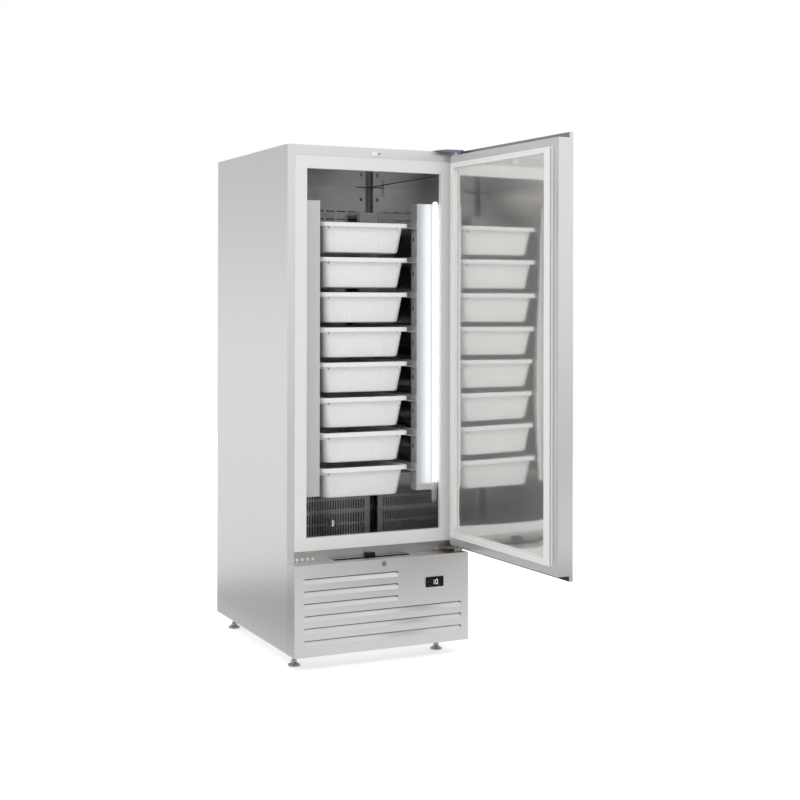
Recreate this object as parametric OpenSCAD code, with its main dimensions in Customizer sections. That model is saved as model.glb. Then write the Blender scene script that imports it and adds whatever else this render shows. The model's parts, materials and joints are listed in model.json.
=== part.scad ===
// Refrigerated fish cabinet with one full-height door, eight sliding tubs on runners
// and a condensing unit behind a louvred lower panel.
// Frame: X to the right seen from the front, Y towards the back, Z up.
// Origin: floor level, middle of the width, front flange plane of the insulated body.

/* [Cabinet] */
// Width across the two side panels
cab_w = 740; // [720:5:820]
// Depth of the insulated body behind the front flange
cab_d = 802; // [790:2:880]
// Height of the roof above the floor
cab_h = 1988; // [1960:2:2100]
// Height of the underside above the floor
base_z = 56; // [50:1:80]
// Thickness of the outer and inner sheets
sheet = 1; // [0.8:0.1:1.5]
// Thickness of the side and back walls
wall = 50; // [45:1:60]
// Width of the steel flange at each side of the door opening
flange_side = 31; // [25:1:40]
// Width of the steel flange above the door opening
flange_top = 39; // [39:1:50]
// Height of the outer edge of the frame below the door opening
sill_z = 438; // [436:1:450]
// Width of the strip that each switch of the roof flange needs
switch_h = 17; // [14:1:20]

/* [White frame profile] */
// Face width of the plastic frame round the opening
breaker_w = 50; // [45:1:56]
// Depth of the plastic frame
breaker_d = 20; // [16:1:24]
// Wall of the plastic frame
breaker_t = 2.5; // [2:0.5:4]

/* [Cavity] */
// Height of the ceiling above the top of the opening
ceiling_rise = 1; // [1:1:6]
// Depth of the floor basin below the bottom of the opening
basin_drop = 20; // [12:1:24]
// Height of the upstand round the floor basin
basin_lip = 12; // [8:1:16]
// Distance of the drain behind the front flange
drain_y = 415; // [380:5:450]
// Outer diameter of the drain stem
drain_d = 28; // [24:1:32]

/* [Rear air duct] */
// Depth of the thin duct at the top of the back wall
duct_gap = 14; // [12:1:18]
// Depth of the evaporator housing at the bottom of the back wall
plenum_d = 68; // [66:1:74]
// Height of the evaporator housing
plenum_h = 662; // [640:2:700]
// Gap between the duct panels and the side walls
duct_side_gap = 19; // [16:1:24]
// Thickness of the duct panels
duct_t = 1.2; // [1:0.1:1.6]
// Height of the slotted intake sheet
grille_h = 174; // [130:2:180]
// Number of slots in each intake row
grille_n = 45; // [35:2:47]
// Spacing of the intake slots
grille_pitch = 12.3; // [11:0.1:12.4]
// Width of an intake slot
grille_slot_w = 6.2; // [5:0.1:7]
// Height of an intake slot
grille_slot_h = 41; // [30:1:42]
// Number of outlet slots in each row at the top of the duct
outlet_n = 10; // [6:2:10]
// Length of an outlet slot
outlet_w = 40; // [30:1:42]
// Height of an outlet slot
outlet_h = 5.5; // [4:0.5:8]
// Distance of the upper outlet row below the ceiling
outlet_drop = 111; // [100:1:120]
// Distance between the two outlet rows
outlet_pitch = 35; // [30:1:40]

/* [Tubs] */
// Width of a tub over its rim
tub_w = 384; // [360:2:392]
// Gap between the tubs and the rear air duct
tub_back_gap = 8; // [6:1:60]
// Gap between a tub and the rim of the tub below it
tub_gap = 18; // [14:1:34]
// Height of the rim's skirt
tub_rim_h = 17.5; // [14:0.5:20]
// Distance from the edge of the rim to the wall under it
tub_rim_over = 16; // [14:1:20]
// Inset of the tub's foot from the edge of the rim
tub_foot_inset = 30; // [26:1:36]
// Wall of a tub
tub_t = 3; // [2:0.5:4]
// Corner radius of a tub's rim
tub_r = 26; // [22:1:34]
// Distance of the top tub's rim below the ceiling
tub_drop = 198; // [190:1:210]
// Height of the lowest tub's rim above the floor basin
tub_rise = 268; // [260:1:280]
// Distance of the tubs' front behind the front flange
tub_y = 86; // [80:1:90]

/* [Rack] */
// Distance of the front uprights behind the front flange
upright_y = 57; // [54:1:62]
// Gap between a tub's rim and the flange of a front upright
upright_gap = 19; // [17:1:24]
// Depth of an upright
upright_d = 50; // [40:1:54]
// Sheet thickness of the uprights and runners
rack_t = 1.5; // [1.2:0.1:2]
// Depth of a rear upright
rear_upright_d = 31.7; // [26:0.1:44]
// Width of a rear upright
rear_upright_w = 85; // [75:1:90]
// Height of the uprights above the top tub's rim
rack_over = 79; // [60:1:90]
// Depth of the uprights below the lowest tub's rim
rack_under = 100; // [90:1:110]
// Height of a runner's upright leg
runner_h = 24; // [18:1:28]

/* [Lamp] */
// Width of the lamp profile
lamp_w = 20; // [18:1:22]
// Depth of the aluminium profile
lamp_d = 12.7; // [10:0.1:14]
// Length of the lamp below the uprights
lamp_under = 43; // [20:1:60]
// Unlit length at the bottom of the lamp
lamp_dark = 76; // [60:1:120]
// Distance of the lamp's right side from the cavity wall
lamp_wall_gap = 24; // [22:1:30]

/* [Door] */
// Gap between the closed door and the front flange
door_gap = 17; // [15:1:18]
// Thickness of the insulated part of the door
door_pan_d = 48; // [44:1:52]
// Depth of the outer skin's edge
door_skin_d = 15; // [13:1:17]
// Height of the skin's edge above and below the insulated part
door_lip = 20; // [18:1:20]
// Drop of the insulated part below the roof
door_top_drop = 18; // [17:1:20]
// Height of the insulated part above the ledge
door_bottom_rise = 25; // [24:1:28]
// Angle at which the door stands open
door_open = 92; // [80:1:100]
// Distance of the hinge axis from the side of the cabinet
pivot_in = 21.4; // [21:0.1:22.4]
// Distance of the hinge axis in front of the flange
pivot_out = 46.4; // [45:0.1:47]
// Diameter of the hinge pins
pin_d = 12; // [10:1:13]
// Outer diameter of the hinge bushes
bush_d = 20; // [17:1:22]
// Length of the hinge bushes
bush_h = 30; // [24:1:36]

/* [Door seal] */
// Width of the seal
seal_w = 34; // [28:1:36]
// Distance of the seal from the door's hinge edge
seal_hinge = 19; // [18:1:24]
// Distance of the seal from the door's free edge
seal_free = 54; // [46:1:57]
// Distance of the seal from the top edge
seal_top = 31; // [28:1:34]
// Distance of the seal from the bottom edge
seal_bottom = 33; // [30:1:36]

/* [Lower panel] */
// Height of the ledge above the floor
ledge_z = 401; // [396:1:403]
// Number of short louvres above the long ones
louvre_short_n = 3; // [1:1:3]
// Number of long louvres
louvre_long_n = 3; // [1:1:3]
// Length of a short louvre
louvre_short = 399; // [340:1:410]
// Length of a long louvre
louvre_long = 676; // [600:2:680]
// Height of a louvre
louvre_h = 21; // [16:1:26]
// Spacing of the louvres
louvre_pitch = 46.4; // [44:0.2:46.4]
// Depth of a louvre's mouth
louvre_d = 8; // [6:0.5:12]
// Drop of the top louvre below the ledge
louvre_drop = 51; // [50:1:52]
// Distance of the louvres from the left side
louvre_side = 35; // [30:1:36]
// Width of the long slot in the ledge
ledge_slot_w = 324; // [280:2:340]
// Depth of the long slot in the ledge
ledge_slot_d = 32; // [16:1:34]
// Height of the key lock below the ledge
lock_drop = 17.5; // [17:0.5:19]
// Diameter of the turning part of the lock
lock_plug_d = 12; // [10:1:13]
// Width of the display
display_w = 78; // [72:1:84]
// Height of the display
display_h = 40; // [36:1:44]
// Distance of the display's middle right of the cabinet's middle
display_x = 220; // [200:1:260]
// Distance of the display's middle below the ledge
display_drop = 105; // [90:1:110]

/* [Feet] */
// Diameter of a foot
foot_d = 48; // [40:1:56]
// Height of a foot's base
foot_h = 25; // [20:1:30]
// Diameter of a foot's stem
foot_stem_d = 12; // [10:1:14]
// Distance of the outer feet from the sides
foot_in = 45; // [42:1:60]
// Distance of the right front foot from the right side
foot_in_front_right = 82; // [70:1:90]
// Distance of the front feet behind the flange
foot_front_y = 34; // [32:1:50]
// Distance of the rear feet in front of the back
foot_back = 95; // [80:1:110]

/* [Condensing unit] */
// Radius of the compressor shell
comp_r = 75; // [65:1:80]
// Height of the compressor shell
comp_h = 190; // [170:1:210]
// Width of the condenser
cond_w = 340; // [300:2:360]
// Height of the condenser
cond_h = 270; // [240:2:290]
// Diameter of the condenser fan
fan_d = 200; // [170:1:220]
// Number of condenser fan blades
fan_n = 5; // [3:1:7]

/* [Hidden] */
$fn = 48;

// Clearance between pieces that lie on each other, and radial running clearance
seat = 0.3;
run = 0.05;
// Overshoot of a cutting shape
cut = 1;

// Main planes of the cabinet
hw = cab_w / 2;
open_hw = hw - flange_side - breaker_w;
open_top = cab_h - flange_top - breaker_w;
open_bot = sill_z + breaker_w;
frame_hw = hw - flange_side;
frame_top = cab_h - flange_top;
inner_hw = hw - wall;
inner_back = cab_d - wall;
ceiling_z = open_top + ceiling_rise;
floor_z = open_bot - basin_drop;
rear_return = 20;

// Main planes of the rear duct
duct_hw = inner_hw - duct_side_gap;
duct_y = inner_back - duct_gap;
plenum_y = inner_back - plenum_d;
plenum_top = floor_z + plenum_h;
grille_top = floor_z + grille_h;
grille_row_1 = floor_z + 9;
grille_row_2 = grille_row_1 + grille_slot_h + 8;
deflector_hw = duct_hw - 48;
deflector_h = 34;
deflector_d = 9;

// Evaporator in its housing
coil_hw = duct_hw - 39;
coil_z = grille_top + 60;
coil_rows = 5;
coil_row_pitch = 50;
coil_tube_d = 10;
coil_fin_n = 23;
blower_r = 22;
blower_shaft_d = 8;
blower_motor_l = 87.5;
bearing_d = 26;
blower_hw = duct_hw - 101;
blower_y = inner_back - plenum_d / 2;
blower_z = plenum_top - 60;

// Rack and tubs
tub_n = 8;
tub_top_z = ceiling_z - tub_drop;
tub_pitch = (tub_top_z - floor_z - tub_rise) / (tub_n - 1);
tub_h = tub_pitch - tub_gap;
tub_d = plenum_y - tub_back_gap - tub_y;
tub_hw = tub_w / 2;
tub_bottom_r = tub_r - 4;
rack_x = tub_hw + upright_gap;
rack_top = tub_top_z + rack_over;
rack_bottom = tub_top_z - (tub_n - 1) * tub_pitch - rack_under;
rear_rack_x = inner_hw - rear_upright_w;
rear_upright_y = plenum_y - seat - rear_upright_d;
function tub_z(i) = tub_top_z - i * tub_pitch;
function rim_z(i) = tub_z(i) - tub_rim_h;
runner_x = tub_hw - tub_rim_over + 1;
runner_end = plenum_y - 2;
slot_w = 12;
slot_h = 18;

// Lamp
lamp_x = inner_hw - lamp_wall_gap;
lamp_top = rack_top + 9;
lamp_len = lamp_top - rack_bottom + lamp_under;
lamp_lit = lamp_len - lamp_dark;
lamp_y = upright_y - seat;

// Door, in its closed place
door_front = -(door_gap + door_pan_d + door_skin_d);
pan_front = -(door_gap + door_pan_d);
pan_back = -door_gap;
pan_hw = hw - sheet - seat;
pan_top = cab_h - door_top_drop;
pan_bottom = ledge_z + door_bottom_rise;
skin_top = pan_top + door_lip;
skin_bottom = pan_bottom - door_lip;
pivot_x = hw - pivot_in;
pivot_y = -pivot_out;
seal_x0 = seal_free - hw;
seal_x1 = hw - seal_hinge;
seal_z0 = pan_bottom + seal_bottom;
seal_z1 = pan_top - seal_top;
seal_h = door_gap - seat;
skin_lap = sheet + seat + 10;
nose_r = 15.5;

// Lower panel
panel_y = door_front;
louvre_top = ledge_z - louvre_drop;
louvre_x = louvre_side - hw;
lock_z = ledge_z - lock_drop;
lock_barrel_d = lock_plug_d + 6;
cam_y = pan_back - 5;
cam_t = 3;
cam_w = 8;
cam_len = pan_bottom + 8 - lock_z;
barrel_end = cam_y - 4;
sensor_x = -25;
sensor_w = 38;
sensor_d = 15.2;
ledge_slot_x0 = sensor_x - ledge_slot_w / 2;
ledge_slot_x1 = sensor_x + ledge_slot_w / 2;
ledge_slot_y0 = cam_y - ledge_slot_d / 2;
ledge_slot_y1 = cam_y + ledge_slot_d / 2;
louvre_mouth = 4;
display_z = ledge_z - display_drop;

// Condensing unit
cond_x = -60;
cond_y = 60;
cond_d = 60;
cond_z = base_z + 19;
cond_rows = 6;
fan_z = cond_z + cond_h / 2;
shroud_y = cond_y + cond_d + seat;
shroud_l = 28;
shroud_t = 2;
fan_gap = 5;
fan_y = shroud_y + shroud_l + 6;
fan_hub_d = 56;
fan_hub_l = 30;
fan_shaft_d = 8;
fan_shaft_l = 50;
blade_w = 56;
blade_t = 1.5;
motor_y = fan_y + 32;
motor_d = 80;
motor_l = 60;
motor_foot_w = 70;
bracket_t = 3;
comp_x = 215;
comp_back = 242;
comp_y = cab_d - comp_back;
comp_z = base_z + 36;
comp_foot_x = comp_r - 5;
comp_foot_y = comp_r - 30;
plate_t = 2;
plate_top = base_z + plate_t;
pipe_r = 5;
suction_x = duct_hw - 20;
coil_front = plenum_y + 12;
coil_back = inner_back - seat;
suction_y = (coil_front + coil_back) / 2;
tray_x0 = -200;
tray_x1 = 90;
tray_y0 = drain_y - 75;
tray_y1 = drain_y + 85;
tray_h = 42;
tray_t = 2;

// Shared shapes
module block(x0, x1, y0, y1, z0, z1) {
  translate([x0, y0, z0]) cube([x1 - x0, y1 - y0, z1 - z0]);
}

module both_sides() {
  children();
  mirror([1, 0, 0]) children();
}

module rounded_rect(w, h, r) {
  square([w - 2 * r, h], center = true);
  square([w, h - 2 * r], center = true);
  for (x = [-1, 1], y = [-1, 1])
    translate([x * (w / 2 - r), y * (h / 2 - r)]) circle(r = r);
}

// A plate in the XZ plane that is extruded towards +Y
module xz_extrude(y0, depth) {
  translate([0, y0 + depth, 0]) rotate([90, 0, 0]) linear_extrude(depth) children();
}

// A section in the YZ plane that is extruded towards +X
module yz_extrude(x0, width) {
  translate([x0, 0, 0]) rotate([90, 0, 90]) linear_extrude(width) children();
}

module rod_y(x, z, y0, y1, d) {
  translate([x, y0, z]) rotate([-90, 0, 0]) cylinder(d = d, h = y1 - y0);
}

module rod_z(x, y, z0, z1, d) {
  translate([x, y, z0]) cylinder(d = d, h = z1 - z0);
}

module rod_x(y, z, x0, x1, d) {
  translate([x0, y, z]) rotate([0, 90, 0]) cylinder(d = d, h = x1 - x0);
}

// A round pipe through a list of points, with ball-shaped bends
module pipe_run(points, r) {
  for (i = [0 : len(points) - 2]) {
    step = points[i + 1] - points[i];
    translate(points[i])
      rotate([0, acos(step[2] / norm(step)), atan2(step[1], step[0])])
        cylinder(r = r, h = norm(step));
  }
  for (i = [1 : len(points) - 2]) translate(points[i]) sphere(r = r);
}

// Outer casing
module side_panel() {
  translate([0, 0, base_z]) linear_extrude(cab_h - sheet - base_z)
    polygon([[hw, 0], [frame_hw, 0], [frame_hw, sheet], [hw - sheet, sheet],
      [hw - sheet, cab_d - sheet], [hw - rear_return, cab_d - sheet],
      [hw - rear_return, cab_d], [hw, cab_d]]);
}

module side_panel_left() {
  color("gainsboro") mirror([1, 0, 0]) side_panel();
}

module side_panel_right() {
  color("gainsboro") side_panel();
}

module roof_panel() {
  color("gainsboro") difference() {
    union() {
      block(-hw, hw, 0, cab_d, cab_h - sheet, cab_h);
      block(-frame_hw, frame_hw, 0, sheet, frame_top, cab_h - sheet);
      block(rear_return - hw, hw - rear_return, cab_d - sheet, cab_d,
        cab_h - rear_return, cab_h - sheet);
    }
    switch_pocket();
  }
}

module back_panel() {
  vent_n = 20;
  vent_side = 70;
  vent_w = 8;
  vent_pitch = (cab_w - 2 * vent_side) / vent_n;
  color("silver") difference() {
    union() {
      block(rear_return - hw, hw - rear_return, cab_d - sheet, cab_d,
        plate_top + seat, cab_h - rear_return);
      rod_y(inner_hw - 40, base_z + 60, cab_d - sheet - 6, cab_d + 3, 30);
    }
    for (i = [0 : vent_n - 1], row = [0, 1])
      block(vent_side - hw + vent_pitch * i, vent_side - hw + vent_pitch * i + vent_w,
        cab_d - sheet - cut, cab_d + cut, base_z + 110 + row * 90, base_z + 180 + row * 90);
    rod_y(inner_hw - 40, base_z + 60, cab_d - 20, cab_d + 20, 18);
  }
}

module foot_places() {
  for (p = [[foot_in - hw, foot_front_y], [hw - foot_in_front_right, foot_front_y],
      [foot_in - hw, cab_d - foot_back], [hw - foot_in, cab_d - foot_back]])
    translate([p[0], p[1], 0]) children();
}

module base_plate() {
  boss_h = 16;
  boss_wall = 7;
  lip_h = 12;
  comp_boss_d = 22;
  color("darkgray") difference() {
    union() {
      block(sheet - hw + seat, hw - sheet - seat, sheet + seat, cab_d - sheet - seat,
        base_z, plate_top);
      block(sheet - hw + seat, hw - sheet - seat, sheet + seat, sheet + seat + plate_t,
        plate_top, plate_top + lip_h);
      foot_places() translate([0, 0, base_z])
        cylinder(d = foot_stem_d + 2 * boss_wall, h = boss_h);
      for (x = [-comp_foot_x, comp_foot_x], y = [-comp_foot_y, comp_foot_y])
        translate([comp_x + x, comp_y + y, base_z])
          cylinder(d = comp_boss_d, h = comp_z - base_z - seat);
    }
    foot_places() translate([0, 0, base_z - cut])
      cylinder(d = foot_stem_d + 2 * run, h = boss_h + 2 * cut);
  }
}

module under_pan() {
  color("silver") difference() {
    union() {
      block(sheet - hw, hw - sheet, sheet, cab_d - sheet, ledge_z, ledge_z + sheet);
      block(-frame_hw, frame_hw, 0, sheet, ledge_z, sill_z);
    }
    rod_z(0, drain_y, ledge_z - cut, ledge_z + 2 * cut, drain_d - 3);
    rod_z(suction_x, suction_y, ledge_z - cut, ledge_z + 2 * cut, 3 * pipe_r);
    for (x = [262 : 22 : 328]) rod_y(-x, ledge_z + 7, -cut, sheet + cut, 7);
  }
}

// White frame of four mitred profiles, open towards the foam
module breaker_section() {
  polygon([[0, 0], [breaker_w, 0], [breaker_w, 0.6 * breaker_d],
    [breaker_w - breaker_t, 0.6 * breaker_d], [breaker_w - breaker_t, breaker_t],
    [breaker_t, breaker_t], [breaker_t, breaker_d - breaker_t],
    [breaker_w - flange_side / 2, breaker_d - breaker_t],
    [breaker_w - flange_side / 2, breaker_d], [0, breaker_d]]);
}

module breaker_jamb() {
  intersection() {
    translate([open_hw, 0, sill_z]) linear_extrude(frame_top - sill_z) breaker_section();
    xz_extrude(-cut, breaker_d + 2 * cut)
      polygon([[frame_hw, sill_z], [frame_hw, frame_top], [open_hw, open_top],
        [open_hw, open_bot]]);
  }
}

module breaker_rail(edge_z, up) {
  intersection() {
    translate([-frame_hw, 0, edge_z]) rotate([90, 0, 90]) linear_extrude(2 * frame_hw)
      mirror([0, up > 0 ? 0 : 1]) rotate(90) mirror([0, 1]) breaker_section();
    xz_extrude(-cut, breaker_d + 2 * cut)
      polygon([[-frame_hw, edge_z + up * breaker_w], [frame_hw, edge_z + up * breaker_w],
        [open_hw, edge_z], [-open_hw, edge_z]]);
  }
}

module breaker_frame() {
  color("whitesmoke") {
    both_sides() breaker_jamb();
    breaker_rail(open_top, 1);
    breaker_rail(open_bot, -1);
  }
}

module insulation() {
  color("khaki") difference() {
    block(sheet - hw, hw - sheet, sheet, cab_d - sheet, ledge_z + sheet, cab_h - sheet);
    block(-frame_hw, frame_hw, -cut, breaker_d, sill_z, frame_top);
    block(-inner_hw - sheet, inner_hw + sheet, -cut, inner_back + sheet,
      floor_z - sheet, ceiling_z + sheet);
    rod_z(0, drain_y, ledge_z, floor_z, drain_d + 1);
    rod_z(suction_x, suction_y, ledge_z, floor_z, 3 * pipe_r);
    switch_pocket();
  }
}

// Polished inner walls
module liner_sides() {
  color("lightgray") both_sides() block(inner_hw, inner_hw + sheet, breaker_d, inner_back,
    floor_z - sheet, ceiling_z);
}

module liner_back() {
  color("lightgray") block(-inner_hw - sheet, inner_hw + sheet, inner_back, inner_back + sheet,
    floor_z - sheet, ceiling_z);
}

module liner_ceiling() {
  color("lightgray") block(-inner_hw - sheet, inner_hw + sheet, breaker_d, inner_back + sheet,
    ceiling_z, ceiling_z + sheet);
}

module floor_basin() {
  edge = inner_hw - seat;
  front = breaker_d + seat;
  back = inner_back - seat;
  color("lightgray") difference() {
    block(-edge, edge, front, back, floor_z - sheet, floor_z + basin_lip);
    block(sheet - edge, edge - sheet, front + sheet, back - sheet, floor_z,
      floor_z + basin_lip + cut);
    rod_z(0, drain_y, floor_z - 2 * cut, floor_z + cut, drain_d + 1);
    rod_z(suction_x, suction_y, floor_z - 2 * cut, floor_z + cut, 3 * pipe_r);
  }
}

module drain_plug() {
  color("silver") difference() {
    union() {
      rod_z(0, drain_y, floor_z + seat, floor_z + 2.5, drain_d + 10);
      rod_z(0, drain_y, floor_z - 14, floor_z + 13, drain_d);
    }
    rod_z(0, drain_y, floor_z - 15, floor_z + 9, drain_d - 5);
    for (a = [0, 60, 120]) translate([0, drain_y, floor_z + 5]) rotate(a)
      cube([drain_d + 2, 4, 5], center = true);
  }
}

module drain_pipe() {
  top = floor_z - 14 - seat;
  color("dimgray") difference() {
    rod_z(0, drain_y, base_z + 60, top, drain_d - 4);
    rod_z(0, drain_y, base_z + 59, top + cut, drain_d - 9);
  }
}

// Rear air duct
module intake_grille() {
  color("lightgray") difference() {
    block(duct_t + seat - duct_hw, duct_hw - duct_t - seat, plenum_y, plenum_y + duct_t,
      floor_z + seat, grille_top - seat);
    for (i = [0 : grille_n - 1], z = [grille_row_1, grille_row_2]) {
      x = (i - (grille_n - 1) / 2) * grille_pitch;
      block(x - grille_slot_w / 2, x + grille_slot_w / 2, plenum_y - cut,
        plenum_y + duct_t + cut, z, z + grille_slot_h);
    }
  }
}

module evaporator_cover() {
  back = inner_back - seat;
  rise = duct_y - plenum_y;
  color("lightgray") {
    yz_extrude(-duct_hw, 2 * duct_hw)
      polygon([[plenum_y, grille_top], [plenum_y, plenum_top], [duct_y, plenum_top + rise],
        [duct_y + duct_t, plenum_top + rise], [duct_y + duct_t, plenum_top + rise - duct_t],
        [plenum_y + duct_t, plenum_top - duct_t / 2], [plenum_y + duct_t, grille_top]]);
    both_sides() yz_extrude(duct_hw - duct_t, duct_t)
      polygon([[plenum_y, floor_z + seat], [plenum_y, plenum_top], [duct_y, plenum_top + rise],
        [back, plenum_top + rise], [back, floor_z + basin_lip + seat],
        [back - 2, floor_z + basin_lip + seat], [back - 2, floor_z + seat]]);
  }
}

module back_duct_panel() {
  low = plenum_top + duct_y - plenum_y + seat;
  top = ceiling_z - seat;
  row = ceiling_z - outlet_drop;
  color("lightgray") difference() {
    union() {
      block(-duct_hw, duct_hw, duct_y, duct_y + duct_t, low, top);
      both_sides() block(duct_hw - duct_t, duct_hw, duct_y, inner_back - seat, low, top);
      block(-deflector_hw, deflector_hw, duct_y - deflector_d, duct_y,
        top - deflector_h, top);
    }
    block(duct_t - deflector_hw, deflector_hw - duct_t, duct_y - deflector_d + duct_t,
      duct_y, top - deflector_h + duct_t, top + cut);
    for (i = [0 : outlet_n - 1], z = [row, row - outlet_pitch]) {
      x = (i - (outlet_n - 1) / 2) * (outlet_w + 12);
      block(x - outlet_w / 2, x + outlet_w / 2, duct_y - cut, duct_y + duct_t + cut,
        z - outlet_h / 2, z + outlet_h / 2);
    }
    both_sides() block(duct_hw - 26, duct_hw - 16, duct_y - cut, duct_y + duct_t + cut,
      ceiling_z - 62, ceiling_z - 48);
  }
}

module evaporator_coil() {
  color("silver") fin_block(-coil_hw, coil_hw, coil_front, coil_back, coil_z,
    coil_z + coil_rows * coil_row_pitch, coil_fin_n, coil_rows, coil_tube_d);
}

module evaporator_fan() {
  blade_n = 16;
  color("dimgray") translate([0, blower_y, blower_z]) {
    rod_x(0, 0, -blower_hw - 34, blower_hw + 20, blower_shaft_d);
    for (x = [-blower_hw, -1.5, blower_hw - 3]) rod_x(0, 0, x, x + 3, 2 * blower_r);
    for (i = [0 : blade_n - 1]) rotate([i * 360 / blade_n, 0, 0])
      translate([-blower_hw, -0.75, blower_r - 9]) cube([2 * blower_hw, 1.5, 8]);
  }
}

module evaporator_motor() {
  left = duct_t + seat - duct_hw;
  right = duct_hw - duct_t - seat;
  color("darkslategray") difference() {
    union() {
      rod_x(blower_y, blower_z, left, left + blower_motor_l, 2 * blower_r);
      rod_x(blower_y, blower_z, left, left + bracket_t, 2 * blower_r + 14);
      rod_x(blower_y, blower_z, blower_hw + 6, right, bearing_d);
      rod_x(blower_y, blower_z, right - bracket_t, right, bearing_d + 22);
    }
    rod_x(blower_y, blower_z, -blower_hw - 40, -blower_hw, blower_shaft_d + 2 * run);
    rod_x(blower_y, blower_z, blower_hw, blower_hw + 30, blower_shaft_d + 2 * run);
  }
}

// Rack of four uprights and sixteen runners
module upright(x, y, width, depth) {
  outer = x + width - seat;
  translate([0, 0, rack_bottom]) linear_extrude(rack_top - rack_bottom)
    polygon([[x, y], [outer, y], [outer, y + depth - 10], [outer - rack_t, y + depth - 10],
      [outer - rack_t, y + rack_t], [x + rack_t, y + rack_t], [x + rack_t, y + depth],
      [x, y + depth]]);
}

module uprights_front() {
  width = inner_hw - rack_x;
  mid = upright_y + upright_d - 15;
  color("silver") both_sides() difference() {
    upright(rack_x, upright_y, width, upright_d);
    for (i = [0 : tub_n - 1]) {
      block(rack_x - cut, rack_x + rack_t + cut, mid - slot_w / 2, mid + slot_w / 2,
        tub_z(i) - 63 - slot_h / 2, tub_z(i) - 63 + slot_h / 2);
      translate([rack_x - cut, mid, rim_z(i) - 12]) rotate([0, 90, 0])
        cylinder(d = 6, h = rack_t + 2 * cut);
    }
  }
}

module uprights_rear() {
  color("silver") both_sides()
    upright(rear_rack_x, rear_upright_y, rear_upright_w, rear_upright_d);
}

module runner(z) {
  outer = rack_x - seat;
  top = z - seat;
  spacer_y = rear_upright_y + 5;
  union() {
    block(runner_x, outer, upright_y + rack_t + seat, runner_end, top - rack_t, top);
    block(outer - rack_t, outer, upright_y + rack_t + seat, runner_end, top - rack_t,
      top + runner_h);
    block(outer - rack_t, rear_rack_x - seat, spacer_y, spacer_y + 20, top + 3,
      top + runner_h - 3);
  }
}

module runners() {
  color("silver") both_sides() for (i = [0 : tub_n - 1]) runner(rim_z(i));
}

// A plastic tub with a skirted rim, tapered walls and front ribs
module tub_block(top_inset, foot_inset, z0, z1, r) {
  hull() {
    translate([0, tub_y + tub_d / 2, z1 - 0.5]) linear_extrude(0.5)
      rounded_rect(tub_w - 2 * top_inset, tub_d - 2 * top_inset, r, $fn = 32);
    translate([0, tub_y + tub_d / 2, z0]) linear_extrude(0.5)
      rounded_rect(tub_w - 2 * foot_inset, tub_d - 2 * foot_inset, tub_bottom_r, $fn = 32);
  }
}

module tub_rim() {
  mid = tub_y + tub_d / 2;
  translate([0, mid, tub_h - tub_rim_h]) difference() {
    linear_extrude(tub_rim_h) rounded_rect(tub_w, tub_d, tub_r);
    translate([0, 0, -cut]) linear_extrude(tub_rim_h - tub_t + cut)
      rounded_rect(tub_w - 2 * tub_t, tub_d - 2 * tub_t, tub_r - tub_t);
    linear_extrude(tub_rim_h + cut)
      rounded_rect(tub_w - 2 * tub_rim_over - tub_t, tub_d - 2 * tub_rim_over - tub_t,
        tub_r - 8);
  }
}

module tub(i) {
  lean = atan2(tub_foot_inset - tub_rim_over, tub_h);
  rib_h = tub_h - tub_rim_h;
  foot_y = tub_y + tub_foot_inset;
  translate([0, 0, tub_z(i) - tub_h]) color("white") difference() {
    union() {
      tub_block(tub_rim_over, tub_foot_inset, 0, tub_h, tub_r - 8);
      tub_rim();
      for (side = [-1, 1], near = [0.15, 0.22])
        translate([side * tub_w * near, foot_y, 3]) rotate([lean, 0, 0])
          translate([-1.5, -2, 0]) cube([3, 4, rib_h]);
      both_sides() translate([tub_w * 0.39, tub_y + 1, tub_h - tub_rim_h - 4])
        cube([18, tub_rim_over, 5]);
    }
    tub_block(tub_rim_over + tub_t, tub_foot_inset + tub_t, tub_t, tub_h + cut, tub_r - 10);
  }
}

module tub_1() { tub(0); }
module tub_2() { tub(1); }
module tub_3() { tub(2); }
module tub_4() { tub(3); }
module tub_5() { tub(4); }
module tub_6() { tub(5); }
module tub_7() { tub(6); }
module tub_8() { tub(7); }

// Lamp on the right front upright
module lamp_profile() {
  bottom = lamp_top - lamp_len;
  x0 = lamp_x - lamp_w;
  color("silver") difference() {
    union() {
      block(x0, lamp_x, lamp_y - lamp_d, lamp_y, bottom, lamp_top);
      block(x0 + 4, lamp_x + 8, lamp_y - 2, lamp_y, bottom - 10, bottom);
      block(x0 + 4, lamp_x + 8, lamp_y - 2, lamp_y, rack_top - 6, rack_top - 2);
    }
    block(x0 + 1.5, lamp_x - 1.5, lamp_y - lamp_d - cut, lamp_y - 3,
      lamp_top - lamp_lit - seat, lamp_top + cut);
  }
}

module lamp_diffuser() {
  r = lamp_w / 2 - 1.5 - seat;
  mid = lamp_x - lamp_w / 2;
  front = lamp_y - lamp_d;
  low = lamp_top - lamp_lit;
  color("white") {
    difference() {
      union() {
        rod_z(mid, front, low, lamp_top - r, 2 * r);
        translate([mid, front, lamp_top - r]) sphere(r = r);
      }
      block(mid - lamp_w, mid + lamp_w, front, front + lamp_w, low - cut, lamp_top + cut);
    }
    block(mid - r, mid + r, front, front + lamp_d - 3 - seat, low, lamp_top - r);
  }
}

// Door switch in the flange above the opening
switch_x = 10;
switch_z = frame_top + flange_top / 2 - 2.5;

module switch_pocket() {
  block(-14, 20, -cut, 28, switch_z - switch_h / 2 + 2, switch_z + switch_h / 2 - 2);
}

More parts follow.
